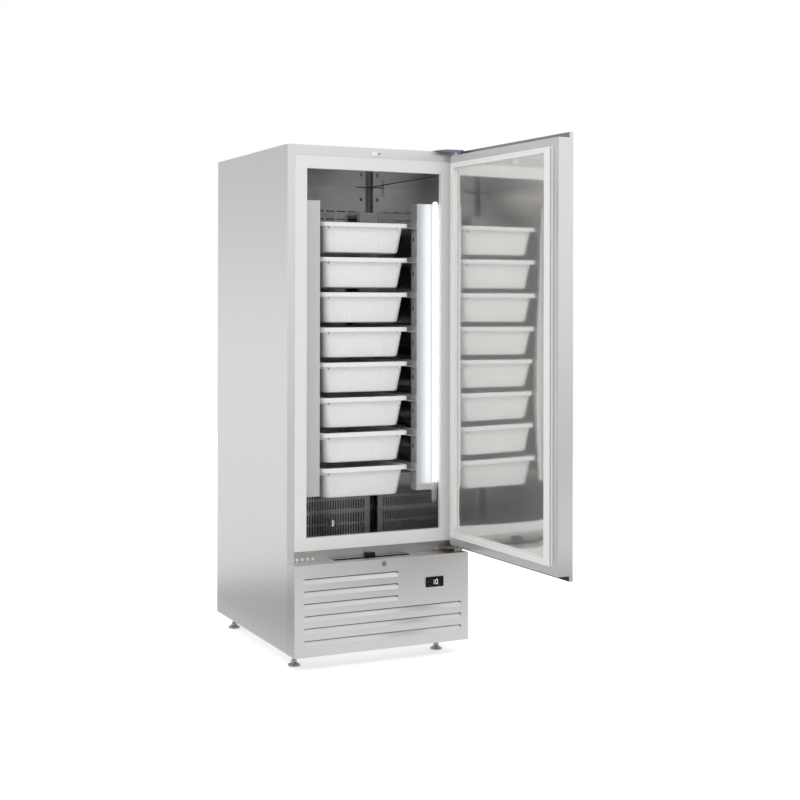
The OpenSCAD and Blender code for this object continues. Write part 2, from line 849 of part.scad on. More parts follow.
module door_switch() {
  gap = 2 + seat;
  bore = 7;
  color("white") difference() {
    union() {
      xz_extrude(-6, 6 - seat) {
        translate([-21, switch_z - switch_h / 2])
          square([42 - switch_h / 2, switch_h]);
        translate([21 - switch_h / 2, switch_z]) circle(d = switch_h);
      }
      block(seat - 14, 20 - seat, -1, 27, switch_z - switch_h / 2 + gap,
        switch_z + switch_h / 2 - gap);
    }
    rod_y(switch_x, switch_z, -7, 20, bore + 2 * run);
    rod_y(switch_x, switch_z, -3, 22, bore + 3.4);
  }
}

module switch_plunger() {
  color("gray") {
    rod_y(switch_x, switch_z, seat + 0.2 - door_gap, 12, 7);
    rod_y(switch_x, switch_z, -2.7, -0.7, 7 + 3);
  }
}

// Hinges
module hinge_nose() {
  circle(r = nose_r);
}

module top_hinge() {
  t = 4;
  z0 = cab_h;
  color("darkslategray") union() {
    translate([pivot_x, pivot_y, z0]) linear_extrude(t) {
      hinge_nose();
      polygon([[-nose_r * 0.3, -nose_r * 0.953], [-66, -nose_r * 0.5], [-86, pivot_out],
        [-86, pivot_out + 46], [2, pivot_out + 46], [2, pivot_out], [nose_r * 0.98, 3]]);
    }
    translate([pivot_x, pivot_y, z0 - 7]) linear_extrude(7) difference() {
      polygon([[-nose_r * 0.3, -nose_r * 0.95], [-66, -nose_r * 0.5], [-69, 4], [0, 0]]);
      translate([4, 8]) polygon([[-nose_r * 0.3, -nose_r * 0.75], [-66, -nose_r * 0.5],
        [-80, 14], [0, 14]]);
    }
    rod_z(pivot_x, pivot_y, z0 - 9, z0, 22);
    rod_z(pivot_x, pivot_y, pan_top - bush_h + 4, z0, pin_d);
    for (p = [[-20, 24], [-60, 24], [-40, 34]])
      rod_z(pivot_x + p[0], p[1], z0 + t, z0 + t + 3, 12);
  }
}

module lower_hinge() {
  top = pan_bottom - 7;
  t = 4;
  leaf = 66;
  tab = 28;
  color("silver") union() {
    translate([pivot_x, pivot_y, top - t]) linear_extrude(t) {
      hinge_nose();
      polygon([[-nose_r * 0.3, -nose_r * 0.953], [8 - leaf, -nose_r * 0.6], [-leaf, 10],
        [-leaf, pivot_out - seat], [4, pivot_out - seat], [nose_r * 0.98, 3]]);
    }
    block(pivot_x - leaf, pivot_x + 4, -t, -seat, ledge_z + seat, top);
    block(pivot_x - leaf - tab, pivot_x - leaf, -t, -seat, ledge_z + seat, ledge_z + 13);
    rod_z(pivot_x, pivot_y, ledge_z + seat, pan_bottom + bush_h - 4, pin_d);
    rod_z(pivot_x, pivot_y, ledge_z + 2, top - t, 22);
    for (x = [8, 20]) rod_y(pivot_x - leaf - x, ledge_z + 7, -t - 3, -t, 8);
  }
}

module hinge_bearing() {
  color("dimgray") difference() {
    rod_z(pivot_x, pivot_y, pan_bottom - 7 + seat / 2, pan_bottom - seat, 27);
    rod_z(pivot_x, pivot_y, pan_bottom - 9, pan_bottom + cut, pin_d + 2 * run);
  }
}

// Lower panel with pressed louvres
module louvre_outline(x0, top, length, grow) {
  translate([x0 + length / 2, top - louvre_h / 2])
    rounded_rect(length + 2 * grow, louvre_h + 2 * grow, louvre_h / 2 - 2 + grow);
}

module louvre_row(i) {
  length = i < louvre_short_n ? louvre_short : louvre_long;
  top = louvre_top - i * louvre_pitch;
  louvre_outline(louvre_x, top, length, 0);
}

// The scoop leans inwards from its bottom edge, is closed at both ends and open at its top
module louvre_scoop(i) {
  length = i < louvre_short_n ? louvre_short : louvre_long;
  top = louvre_top - i * louvre_pitch;
  low = top - louvre_h - sheet;
  mouth = top - louvre_mouth;
  difference() {
    intersection() {
      xz_extrude(panel_y, louvre_d + sheet) louvre_outline(louvre_x, top, length, sheet);
      yz_extrude(louvre_x - 2 * sheet, length + 4 * sheet)
        polygon([[panel_y, low], [panel_y + sheet, low], [panel_y + louvre_d + sheet, mouth],
          [panel_y, mouth]]);
    }
    intersection() {
      xz_extrude(panel_y - cut, louvre_d + sheet) louvre_outline(louvre_x, top, length, 0);
      yz_extrude(louvre_x - 2 * sheet, length + 4 * sheet)
        polygon([[panel_y - cut, low], [panel_y, low], [panel_y + louvre_d, mouth],
          [panel_y + louvre_d, mouth + cut], [panel_y - cut, mouth + cut]]);
    }
  }
}

module front_panel() {
  louvre_n = louvre_short_n + louvre_long_n;
  left = -hw;
  back = -seat;
  bore = lock_barrel_d + 0.2;
  color("silver") union() {
    difference() {
      union() {
        block(left, hw, panel_y, panel_y + sheet, base_z, ledge_z);
        block(left, hw, panel_y, back, ledge_z - sheet, ledge_z);
        both_sides() block(hw - sheet, hw, panel_y, back, base_z, ledge_z);
        block(left, hw, panel_y, panel_y + 30, base_z, base_z + sheet);
        both_sides() block(hw - 22, hw, back - sheet, back, base_z, ledge_z);
      }
      xz_extrude(panel_y - cut, sheet + 2 * cut)
        for (i = [0 : louvre_n - 1]) louvre_row(i);
      xz_extrude(panel_y - cut, sheet + 2 * cut) translate([0, lock_z]) circle(d = bore);
      xz_extrude(panel_y - cut, sheet + 2 * cut) translate([display_x, display_z])
        square([display_w - 6, display_h - 10], center = true);
      block(ledge_slot_x0, ledge_slot_x1, ledge_slot_y0, ledge_slot_y1,
        ledge_z - sheet - cut, ledge_z + cut);
    }
    for (i = [0 : louvre_n - 1]) louvre_scoop(i);
  }
}

module controller() {
  color("black") {
    xz_extrude(panel_y - 3, 3 - seat / 3) translate([display_x, display_z])
      rounded_rect(display_w, display_h, 4);
    xz_extrude(panel_y - 1, 56) translate([display_x, display_z])
      square([display_w - 7, display_h - 11], center = true);
  }
}

module lock_housing() {
  color("silver") difference() {
    union() {
      rod_y(0, lock_z, panel_y - 2.5, panel_y - seat / 3, lock_barrel_d + 3);
      rod_y(0, lock_z, panel_y - 1, barrel_end, lock_barrel_d);
      translate([0, panel_y + sheet + seat / 3, lock_z]) rotate([-90, 0, 0])
        cylinder(d = lock_barrel_d + 6, h = 5, $fn = 6);
    }
    rod_y(0, lock_z, panel_y - 4, barrel_end + 2, lock_plug_d + 2 * run);
  }
}

module lock_plug() {
  color("silver") difference() {
    union() {
      rod_y(0, lock_z, panel_y - 3, cam_y, lock_plug_d);
      rod_y(0, lock_z, barrel_end + seat, cam_y + cam_t + 2, lock_plug_d + 4);
      block(0, cam_len, cam_y, cam_y + cam_t, lock_z - cam_w / 2, lock_z + cam_w / 2);
    }
    block(-0.8, 0.8, panel_y - 4, panel_y + 2, lock_z - 4, lock_z + 4);
  }
}

module door_sensor() {
  color("black") xz_extrude(-seat - sensor_d, sensor_d)
    translate([sensor_x, ledge_z + seat + 8]) rounded_rect(sensor_w, 16, 2);
}

// Condensing unit
module compressor() {
  cap = 0.6 * comp_r;
  wall_h = comp_h - 2 * cap;
  plate_x = comp_foot_x + 15;
  plate_y = comp_foot_y + 10;
  color("dimgray") translate([comp_x, comp_y, comp_z]) {
    translate([0, 0, cap]) cylinder(r = comp_r, h = wall_h);
    for (z = [cap, cap + wall_h]) translate([0, 0, z]) intersection() {
      sphere(r = comp_r);
      cube([2 * comp_r, 2 * comp_r, 2 * cap], center = true);
    }
    translate([-plate_x, -plate_y, 0]) cube([2 * plate_x, 2 * plate_y, 3]);
    translate([-comp_r - 22, -30, 60]) cube([40, 60, 70]);
  }
}

// Fins on one tube that runs to and fro, with its first end on the right side
module fin_block(x0, x1, y0, y1, z0, z1, fins, rows, tube_d) {
  step = (x1 - x0 - 1) / (fins - 1);
  pitch = (z1 - z0) / rows;
  union() {
    for (i = [0 : fins - 1]) block(x0 + i * step, x0 + i * step + 1, y0, y1, z0, z1);
    for (r = [0 : rows - 1]) rod_x((y0 + y1) / 2, z0 + (r + 0.5) * pitch, x0, x1, tube_d);
    for (r = [0 : rows - 2]) {
      side = r % 2 == 0 ? -1 : 1;
      translate([side > 0 ? x1 : x0, (y0 + y1) / 2, z0 + (r + 1) * pitch])
        rotate([90, 0, 0]) rotate([0, 0, side > 0 ? -90 : 90])
          rotate_extrude(angle = 180) translate([pitch / 2, 0]) circle(d = tube_d);
    }
  }
}

module condenser() {
  x0 = cond_x - cond_w / 2;
  x1 = cond_x + cond_w / 2;
  color("black") {
    fin_block(x0, x1, cond_y, cond_y + cond_d, cond_z, cond_z + cond_h, 25, cond_rows, 9);
    for (x = [x0 + 20, x1 - 21])
      block(x, x + 1, cond_y, cond_y + cond_d, plate_top + seat, cond_z);
  }
}

module condenser_shroud() {
  x0 = cond_x - cond_w / 2;
  x1 = cond_x + cond_w / 2;
  color("dimgray") difference() {
    union() {
      block(x0, x1, shroud_y, shroud_y + shroud_t, plate_top + seat, cond_z + cond_h);
      rod_y(cond_x, fan_z, shroud_y, shroud_y + shroud_l, fan_d + 2 * fan_gap + 2 * shroud_t);
    }
    rod_y(cond_x, fan_z, shroud_y - cut, shroud_y + shroud_l + cut, fan_d + 2 * fan_gap);
  }
}

module condenser_fan() {
  color("dimgray") translate([cond_x, fan_y, fan_z]) {
    rod_y(0, 0, -0.6 * fan_hub_l, 0.4 * fan_hub_l, fan_hub_d);
    rod_y(0, 0, 0, fan_shaft_l, fan_shaft_d);
    intersection() {
      for (i = [0 : fan_n - 1]) rotate([0, i * 360 / fan_n, 0])
        translate([0, -2 * blade_t, fan_hub_d / 2 - 8]) rotate([0, 0, 32])
          translate([-blade_w / 2, -blade_t / 2, 0]) cube([blade_w, blade_t, fan_d / 2]);
      rod_y(0, 0, -fan_hub_l, fan_hub_l, fan_d);
    }
  }
}

module condenser_motor() {
  front = motor_y - 12;
  foot = motor_y + 40;
  x0 = cond_x - motor_foot_w / 2;
  x1 = cond_x + motor_foot_w / 2;
  low = plate_top + seat;
  color("darkslategray") difference() {
    union() {
      rod_y(cond_x, fan_z, front, front + motor_l, motor_d);
      block(x0, x1, foot, foot + bracket_t, low, fan_z);
      block(x0, x1, foot, foot + 10 * bracket_t, low, low + bracket_t);
    }
    rod_y(cond_x, fan_z, front - cut, fan_y + fan_shaft_l + 4, fan_shaft_d + 2 * run);
  }
}

module refrigerant_pipes() {
  shell_top = comp_z + comp_h + seat;
  high = ledge_z - 30;
  riser_x = cond_x + cond_w / 2 + 50;
  cond_in = [cond_x + cond_w / 2 + seat, cond_y + cond_d / 2, cond_z + cond_h / cond_rows / 2];
  coil_in = coil_z + coil_row_pitch / 2;
  color("peru") {
    pipe_run([[comp_x + 20, comp_y + 30, shell_top], [comp_x + 20, comp_y + 30, high],
      [comp_x + 20, suction_y, high], [suction_x, suction_y, high],
      [suction_x, suction_y, coil_in], [coil_hw + seat, suction_y, coil_in]], pipe_r);
    pipe_run([[comp_x - 20, comp_y - 30, shell_top], [comp_x - 20, comp_y - 30, high - 20],
      [riser_x, comp_y - 30, high - 20], [riser_x, cond_in[1], high - 20],
      [riser_x, cond_in[1], cond_in[2]], cond_in], pipe_r - 1);
  }
}

module drip_tray() {
  z0 = plate_top + seat;
  color("gray") difference() {
    block(tray_x0, tray_x1, tray_y0, tray_y1, z0, z0 + tray_h);
    block(tray_x0 + tray_t, tray_x1 - tray_t, tray_y0 + tray_t, tray_y1 - tray_t,
      z0 + tray_t, z0 + tray_h + cut);
  }
}

// Height-adjusting feet
module foot() {
  color("dimgray") union() {
    cylinder(d1 = foot_d, d2 = foot_d - 18, h = foot_h - 4);
    translate([0, 0, foot_h - 4]) cylinder(d = foot_d - 18, h = 4);
    translate([0, 0, foot_h]) cylinder(d = foot_stem_d + 9, h = 7, $fn = 6);
    translate([0, 0, foot_h]) cylinder(d = foot_stem_d, h = base_z - foot_h + 30);
  }
}

module foot_front_left() { translate([foot_in - hw, foot_front_y, 0]) foot(); }
module foot_front_right() { translate([hw - foot_in_front_right, foot_front_y, 0]) foot(); }
module foot_rear_left() { translate([foot_in - hw, cab_d - foot_back, 0]) foot(); }
module foot_rear_right() { translate([hw - foot_in, cab_d - foot_back, 0]) foot(); }

// Door pieces are drawn closed and then swung open about the hinge axis
module swung() {
  translate([pivot_x, pivot_y, 0]) rotate([0, 0, door_open])
    translate([-pivot_x, -pivot_y, 0]) children();
}

module door_skin() {
  back = pan_front;
  color("gainsboro") swung() union() {
    difference() {
      block(-hw, hw, door_front, back, skin_bottom, skin_top);
      block(sheet - hw, hw - sheet, door_front + sheet, back - sheet, skin_bottom + sheet,
        skin_top - sheet);
      block(skin_lap - hw, hw - skin_lap, back - 2 * sheet, back + cut, pan_bottom + 10,
        pan_top - 10);
    }
    both_sides() block(hw - sheet, hw, back - cut, pan_back, pan_bottom, pan_top);
  }
}

// Pocket in the door's underside that the raised lock cam enters
module strike_slot() {
  block(-cam_w / 2 - 2, cam_w / 2 + 2, cam_y - 2.5, pan_back - sheet, pan_bottom - cut,
    pan_bottom + 14);
}

module door_pan() {
  color("silver") swung() difference() {
    block(-pan_hw, pan_hw, pan_front, pan_back, pan_bottom, pan_top);
    block(sheet - pan_hw, pan_hw - sheet, pan_front - cut, pan_back - sheet,
      pan_bottom + sheet, pan_top - sheet);
    block(seal_x0 + 8, seal_x1 - 8, pan_front, pan_back + cut, seal_z0 + 8, seal_z1 - 8);
    rod_z(pivot_x, pivot_y, pan_bottom - cut, pan_top + cut, bush_d + 2 * run);
    strike_slot();
  }
}

module door_liner() {
  color("lightgray") swung()
    block(seal_x0 + 8 + seat, seal_x1 - 8 - seat, pan_back - sheet, pan_back,
      seal_z0 + 8 + seat, seal_z1 - 8 - seat);
}

module door_core() {
  color("khaki") swung() difference() {
    union() {
      block(sheet - pan_hw, pan_hw - sheet, pan_front, pan_back - sheet,
        pan_bottom + sheet, pan_top - sheet);
      block(skin_lap + 1 - hw, hw - skin_lap - 1, door_front + sheet, pan_front,
        pan_bottom + 11, pan_top - 11);
    }
    strike_slot();
    rod_z(pivot_x, pivot_y, pan_bottom, pan_bottom + bush_h + seat, bush_d + 0.4);
    rod_z(pivot_x, pivot_y, pan_top - bush_h - seat, pan_top, bush_d + 0.4);
  }
}

module seal_ring(grow_out, grow_in, y0, y1) {
  difference() {
    block(seal_x0 - grow_out, seal_x1 + grow_out, y0, y1, seal_z0 - grow_out,
      seal_z1 + grow_out);
    block(seal_x0 + grow_in, seal_x1 - grow_in, y0 - cut, y1 + cut, seal_z0 + grow_in,
      seal_z1 - grow_in);
  }
}

module door_gasket() {
  y0 = pan_back + seat / 3;
  color("white") swung() {
    seal_ring(0, seal_w, y0, y0 + 3);
    seal_ring(-7, seal_w - 9, y0 + 3, y0 + 9);
    seal_ring(-2, seal_w - 4, y0 + 9, pan_back + seal_h);
  }
}

module door_bushes() {
  color("dimgray") swung() difference() {
    union() {
      rod_z(pivot_x, pivot_y, pan_bottom, pan_bottom + bush_h, bush_d);
      rod_z(pivot_x, pivot_y, pan_top - bush_h, pan_top, bush_d);
      rod_z(pivot_x, pivot_y, pan_top, pan_top + 5, bush_d + 4);
    }
    rod_z(pivot_x, pivot_y, pan_bottom - cut, pan_top + 9, pin_d + 2 * run);
  }
}

side_panel_left();
side_panel_right();
roof_panel();
back_panel();
base_plate();
under_pan();
breaker_frame();
insulation();
liner_sides();
liner_back();
liner_ceiling();
floor_basin();
intake_grille();
evaporator_cover();
back_duct_panel();
evaporator_coil();
evaporator_fan();
evaporator_motor();
drain_plug();
drain_pipe();
uprights_front();
uprights_rear();
runners();
lamp_profile();
lamp_diffuser();
door_switch();
switch_plunger();
top_hinge();
lower_hinge();
hinge_bearing();
front_panel();
controller();
lock_housing();
lock_plug();
door_sensor();
compressor();
condenser();
condenser_shroud();
condenser_fan();
condenser_motor();
refrigerant_pipes();
drip_tray();
foot_front_left();
foot_front_right();
foot_rear_left();
foot_rear_right();
door_skin();
door_pan();
door_liner();
door_core();
door_gasket();
door_bushes();
tub_1();
tub_2();
tub_3();
tub_4();
tub_5();
tub_6();
tub_7();
tub_8();
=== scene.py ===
"""Looks of an upright refrigerated fish cabinet, built round its packed CAD frame."""

import json
import logging
import math
from dataclasses import dataclass, field
from enum import Enum
from typing import Sequence

import bmesh
import bpy
from mathutils import Matrix, Vector


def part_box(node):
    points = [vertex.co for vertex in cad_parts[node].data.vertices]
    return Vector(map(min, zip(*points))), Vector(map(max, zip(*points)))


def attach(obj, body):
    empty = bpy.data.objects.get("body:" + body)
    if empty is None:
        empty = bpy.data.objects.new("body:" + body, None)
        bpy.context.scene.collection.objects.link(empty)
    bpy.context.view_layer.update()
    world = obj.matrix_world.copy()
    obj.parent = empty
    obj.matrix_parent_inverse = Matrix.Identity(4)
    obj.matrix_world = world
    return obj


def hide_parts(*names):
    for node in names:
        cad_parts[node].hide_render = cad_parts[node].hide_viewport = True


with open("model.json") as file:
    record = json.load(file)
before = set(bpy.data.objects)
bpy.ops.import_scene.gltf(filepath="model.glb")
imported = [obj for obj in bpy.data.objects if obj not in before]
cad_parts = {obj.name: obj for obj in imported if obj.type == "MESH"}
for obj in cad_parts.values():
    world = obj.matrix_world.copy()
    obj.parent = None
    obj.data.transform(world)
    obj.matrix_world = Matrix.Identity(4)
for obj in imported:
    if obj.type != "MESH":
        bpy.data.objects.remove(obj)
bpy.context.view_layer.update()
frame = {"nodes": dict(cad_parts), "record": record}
LOG = logging.getLogger("fish_cabinet")

Colour = tuple[float, float, float]
Point = tuple[float, float, float]
Pair = tuple[float, float]
Socket = bpy.types.NodeSocket
WHITE = (1.0, 1.0, 1.0, 1.0)
TUBS = range(1, 9)


class Axis(Enum):
    """Direction of a grain, as the index of its coordinate."""

    X = 0
    Y = 1
    Z = 2


class Nodes:
    """Adds and links the nodes of one tree."""

    def __init__(self, tree: bpy.types.NodeTree) -> None:
        """Keeps the tree."""
        self.tree = tree

    def add(self, kind: str, **settings: object) -> bpy.types.Node:
        """Adds a node.

        Args:
            kind: Type name of the node.
            settings: Properties to set on it.

        Returns:
            The new node.
        """
        node = self.tree.nodes.new(kind)
        for key, value in settings.items():
            setattr(node, key, value)
        return node

    def put(self, value: object, target: Socket) -> None:
        """Links a socket, or sets a plain value.

        Args:
            value: The socket or the value.
            target: The input that takes it.
        """
        if isinstance(value, Socket):
            self.tree.links.new(value, target)
        else:
            target.default_value = value

    def made(self, kind: str, inputs: dict[str | int, object], output: str | int = 0,
             **settings: object) -> Socket:
        """Adds a node with its inputs linked or set.

        Args:
            kind: Type name of the node.
            inputs: Value or socket of each input, by name or index.
            output: Name or index of the output that is wanted.
            settings: Properties to set on it.

        Returns:
            The output.
        """
        node = self.add(kind, **settings)
        for label, value in inputs.items():
            self.put(value, node.inputs[label])
        return node.outputs[output]

    def calc(self, operation: str, *terms: Socket | float) -> Socket:
        """Result of one sum of one to three terms."""
        return self.made("ShaderNodeMath", dict(enumerate(terms)), operation=operation)

    def mixed(self, share: Socket, low: Socket | float, high: Socket | float) -> Socket:
        """Value between two others: the first at a share of 0, the second at 1."""
        return self.calc("MULTIPLY_ADD", share, self.calc("SUBTRACT", high, low), low)

    def remap(self, value: Socket, given: Pair = (0.0, 1.0), result: Pair = (0.0, 1.0),
              kind: str = "LINEAR") -> Socket:
        """Maps a value from one range to another.

        Args:
            value: The value.
            given: The range that it has.
            result: The range that it gets.
            kind: How it runs between the ends.

        Returns:
            The mapped value.
        """
        return self.made("ShaderNodeMapRange", {
            "Value": value, "From Min": given[0], "From Max": given[1], "To Min": result[0],
            "To Max": result[1]}, "Result", interpolation_type=kind)

    def patched(self, level: float, patches: Sequence["Patch"], across: Socket,
                along: Socket) -> Socket:
        """Lays patches over a level.

        Args:
            level: The level between the patches.
            patches: The patches, in order.
            across: First coordinate: an azimuth in degrees, or X.
            along: Second coordinate: an elevation in degrees, or Y.

        Returns:
            The level at each place.
        """
        for patch in patches:
            shares = []
            aside = self.calc("WRAP", self.calc("SUBTRACT", across, patch.azimuth), 180.0, -180.0)
            above = self.calc("SUBTRACT", along, patch.elevation)
            for offset, size in ((aside, patch.width), (above, patch.height)):
                edge = ((size - patch.soft) / 2, (size + patch.soft) / 2)
                shares.append(self.remap(self.calc("ABSOLUTE", offset), edge, (1.0, 0.0),
                                         "SMOOTHSTEP"))
            level = self.mixed(self.calc("MULTIPLY", *shares), level, patch.level)
        return level


class Graph(Nodes):
    """Shader nodes of one material."""

    def __init__(self, name: str) -> None:
        """Makes a material of this name.

        Args:
            name: Name of the new material.
        """
        self.material = bpy.data.materials.new(name)
        self.material.use_nodes = True
        super().__init__(self.material.node_tree)
        self.shader = self.tree.nodes["Principled BSDF"]
        self.place = self.add("ShaderNodeTexCoord").outputs["Object"]

    def surface(self, inputs: dict[str, object]) -> bpy.types.Material:
        """Ends the material.

        Args:
            inputs: Value or socket of each input of the shader.

        Returns:
            The material.
        """
        for label, value in inputs.items():
            self.put(value, self.shader.inputs[label])
        return self.material

    def stretch(self, scale: Point) -> Socket:
        """Object coordinates times a scale along each axis."""
        return self.made("ShaderNodeMapping", {"Vector": self.place, "Scale": scale})

    def noise(self, scale: Point, detail: float, roughness: float) -> Socket:
        """Noise over scaled object coordinates.

        Args:
            scale: Pattern frequency along X, Y and Z, per metre.
            detail: Number of octaves.
            roughness: Weight of the finer octaves.

        Returns:
            The noise value, about 0 to 1.
        """
        return self.made("ShaderNodeTexNoise", {
            "Vector": self.stretch(scale), "Scale": 1.0, "Detail": detail,
            "Roughness": roughness}, "Fac")

    def around(self, value: Socket, middle: float, below: float, above: float) -> Socket:
        """A value spread from a step below a middle to a step above it."""
        return self.remap(value, result=(middle - below, middle + above))

    def blend(self, value: Socket, low: Colour, high: Colour) -> Socket:
        """Mixes two colours by a value from 0 to 1."""
        return self.made("ShaderNodeMix", {6: (*low, 1.0), 7: (*high, 1.0), "Factor": value}, 2,
                         data_type="RGBA")

    def tinted(self, value: Socket, colour: Colour, low: float, high: float) -> Socket:
        """Shades a colour by a value.

        Args:
            value: The value from 0 to 1.
            colour: The colour.
            low: What each channel is multiplied by at 0.
            high: What each channel is multiplied by at 1.

        Returns:
            The shaded colour.
        """
        low_colour, high_colour = ([min(1.0, channel * factor) for channel in colour]
                                   for factor in (low, high))
        return self.blend(value, low_colour, high_colour)

    def across(self, grain: Axis) -> Socket:
        """Direction across the grain, along which a highlight spreads.

        Args:
            grain: Direction of the grain.

        Returns:
            The tangent.
        """
        along = [float(i == grain.value) for i in range(3)]
        cross = self.made("ShaderNodeVectorMath", {
            0: self.add("ShaderNodeNewGeometry").outputs["Normal"], 1: along},
            operation="CROSS_PRODUCT")
        never_zero = (0.003, 0.002, 0.001)
        return self.made("ShaderNodeVectorMath", {0: cross, 1: never_zero}, operation="ADD")

    def bump(self, height: Socket, strength: float, distance: float,
             after: Socket | None = None) -> Socket:
        """Turns a height into a normal.

        Args:
            height: The height pattern.
            strength: Share of the effect.
            distance: Depth of the pattern in metres.
            after: Normal of an earlier bump.

        Returns:
            The normal.
        """
        inputs = {"Strength": strength, "Distance": distance, "Height": height}
        if after is not None:
            inputs["Normal"] = after
        return self.made("ShaderNodeBump", inputs)


@dataclass(frozen=True)
class LampWash:
    """Light that the lamp throws over the front of the upright beside it."""

    far: Colour = (0.0, 0.02, 0.05)
    near: Colour = (0.42, 0.45, 0.46)
    reach: Pair = (0.212, 0.264)
    front: float = 0.0578
    foot: Pair = (0.655, 0.668)
    edge: float = 0.002

    def lay(self, graph: Graph) -> None:
        """Adds the light to a steel.

        Args:
            graph: Nodes of the steel.
        """
        across, depth, height = graph.add("ShaderNodeSeparateXYZ").outputs
        graph.put(graph.place, across.node.inputs[0])
        share = graph.remap(across, self.reach, kind="SMOOTHSTEP")
        beside = graph.calc("GREATER_THAN", across, self.reach[0] - self.edge)
        ahead = graph.calc("LESS_THAN", depth, self.front)
        risen = graph.remap(height, self.foot, kind="SMOOTHSTEP")
        graph.surface({
            "Emission Color": graph.blend(share, self.far, self.near),
            "Emission Strength": graph.calc("MULTIPLY", graph.calc("MULTIPLY", beside, ahead),
                                            risen)})


@dataclass(frozen=True)
class GrainedSteel:
    """Steel sheet with a fine brushed grain."""

    name: str
    colour: Colour
    grain: Axis
    roughness: float = 0.34
    metallic: float = 0.93
    wash: LampWash | None = None
    fineness: float = 1100.0

    def build(self) -> bpy.types.Material:
        """Makes the material: fine streaks, faint handling marks and a highlight across the grain.

        Returns:
            The material.
        """
        graph = Graph(self.name)
        scale = [self.fineness] * 3
        scale[self.grain.value] = self.fineness / 90
        streaks = graph.noise(scale, 4.0, 0.6)
        clouds = graph.noise((3.1, 2.7, 1.9), 3.0, 0.5)
        if self.wash:
            self.wash.lay(graph)
        return graph.surface({
            "Base Color": graph.tinted(streaks, self.colour, 0.97, 1.03),
            "Roughness": graph.calc("ADD", graph.around(streaks, self.roughness, 0.05, 0.05),
                                    graph.around(clouds, 0.0, 0.025, 0.025)),
            "Metallic": self.metallic, "Anisotropic": 0.6, "Tangent": graph.across(self.grain),
            "Normal": graph.bump(streaks, 0.2, 0.00003)})


@dataclass(frozen=True)
class MirrorSteel:
    """Polished steel sheet that lies in slow waves."""

    name: str
    colour: Colour
    roughness: float = 0.06
    wave: float = 0.0012
    metallic: float = 0.96
    haze: float = 0.0

    def build(self) -> bpy.types.Material:
        """Makes the material: slow waves, faint rolling marks and a breath of haze.

        Returns:
            The material.
        """
        graph = Graph(self.name)
        cloud = graph.noise((9.0, 9.0, 6.0), 4.0, 0.6)
        rolled = graph.noise((260.0, 260.0, 4.0), 2.0, 0.5)
        slow = (graph.bump(graph.noise((2.4, 2.4, 1.6), 1.0, 0.4), 1.0, self.wave)
                if self.wave else None)
        if self.haze:
            graph.surface({"Coat Weight": self.haze, "Coat IOR": 3.0, "Coat Roughness": 0.4})
        return graph.surface({
            "Base Color": graph.tinted(cloud, self.colour, 0.96, 1.03),
            "Roughness": graph.remap(cloud, result=(self.roughness * 0.7, self.roughness * 1.4)),
            "Metallic": self.metallic, "Normal": graph.bump(rolled, 0.12, 0.00002, slow)})


@dataclass(frozen=True)
class Moulded:
    """Moulded or extruded plastic and rubber."""

    name: str
    colour: Colour
    roughness: float = 0.42
    specular: float = 0.5

    def build(self) -> bpy.types.Material:
        """Makes the material: slight mottling and a fine leathered skin.

        Returns:
            The material.
        """
        graph = Graph(self.name)
        mottle = graph.noise((14.0, 14.0, 14.0), 4.0, 0.6)
        skin = graph.noise((1400.0, 1400.0, 1400.0), 2.0, 0.5)
        return graph.surface({
            "Base Color": graph.tinted(mottle, self.colour, 0.975, 1.02),
            "Roughness": graph.around(mottle, self.roughness, 0.05, 0.06),
            "Specular IOR Level": self.specular, "Normal": graph.bump(skin, 0.3, 0.00003)})


@dataclass(frozen=True)
class Plated:
    """Cast, plated or painted metal with worn spots."""

    name: str
    colour: Colour
    worn: Colour
    roughness: float = 0.3
    metallic: float = 1.0

    def build(self) -> bpy.types.Material:
        """Makes the material: cloudy plating with small pits.

        Returns:
            The material.
        """
        graph = Graph(self.name)
        cloud = graph.noise((45.0, 45.0, 45.0), 5.0, 0.6)
        pits = graph.noise((900.0, 900.0, 900.0), 3.0, 0.6)
        return graph.surface({
            "Base Color": graph.blend(cloud, self.colour, self.worn),
            "Roughness": graph.around(cloud, self.roughness, 0.08, 0.14),
            "Metallic": self.metallic, "Normal": graph.bump(pits, 0.35, 0.00008)})


@dataclass(frozen=True)
class Foamed:
    """Open rigid foam."""

    name: str
    colour: Colour

    def build(self) -> bpy.types.Material:
        """Makes the material: cells of foam.

        Returns:
            The material.
        """
        graph = Graph(self.name)
        cells = graph.made("ShaderNodeTexVoronoi", {
            "Vector": graph.stretch((420.0, 420.0, 420.0)), "Scale": 1.0}, "Distance")
        return graph.surface({
            "Base Color": graph.tinted(cells, self.colour, 0.8, 1.0), "Roughness": 0.9,
            "Normal": graph.bump(cells, 0.6, 0.0006)})


@dataclass(frozen=True)
class Glowing:
    """Lit surface: an opal cover or the segments of a display."""

    name: str
    colour: Colour
    power: float

    def build(self) -> bpy.types.Material:
        """Makes the material: an even glow that dims slightly between the light points.

        Returns:
            The material.
        """
        graph = Graph(self.name)
        points = graph.noise((1.0, 1.0, 55.0), 1.0, 0.4)
        dimmer = 0.06 * self.power
        return graph.surface({
            "Base Color": (*self.colour, 1.0), "Roughness": 0.35,
            "Emission Color": (*self.colour, 1.0),
            "Emission Strength": graph.around(points, self.power, dimmer, dimmer)})


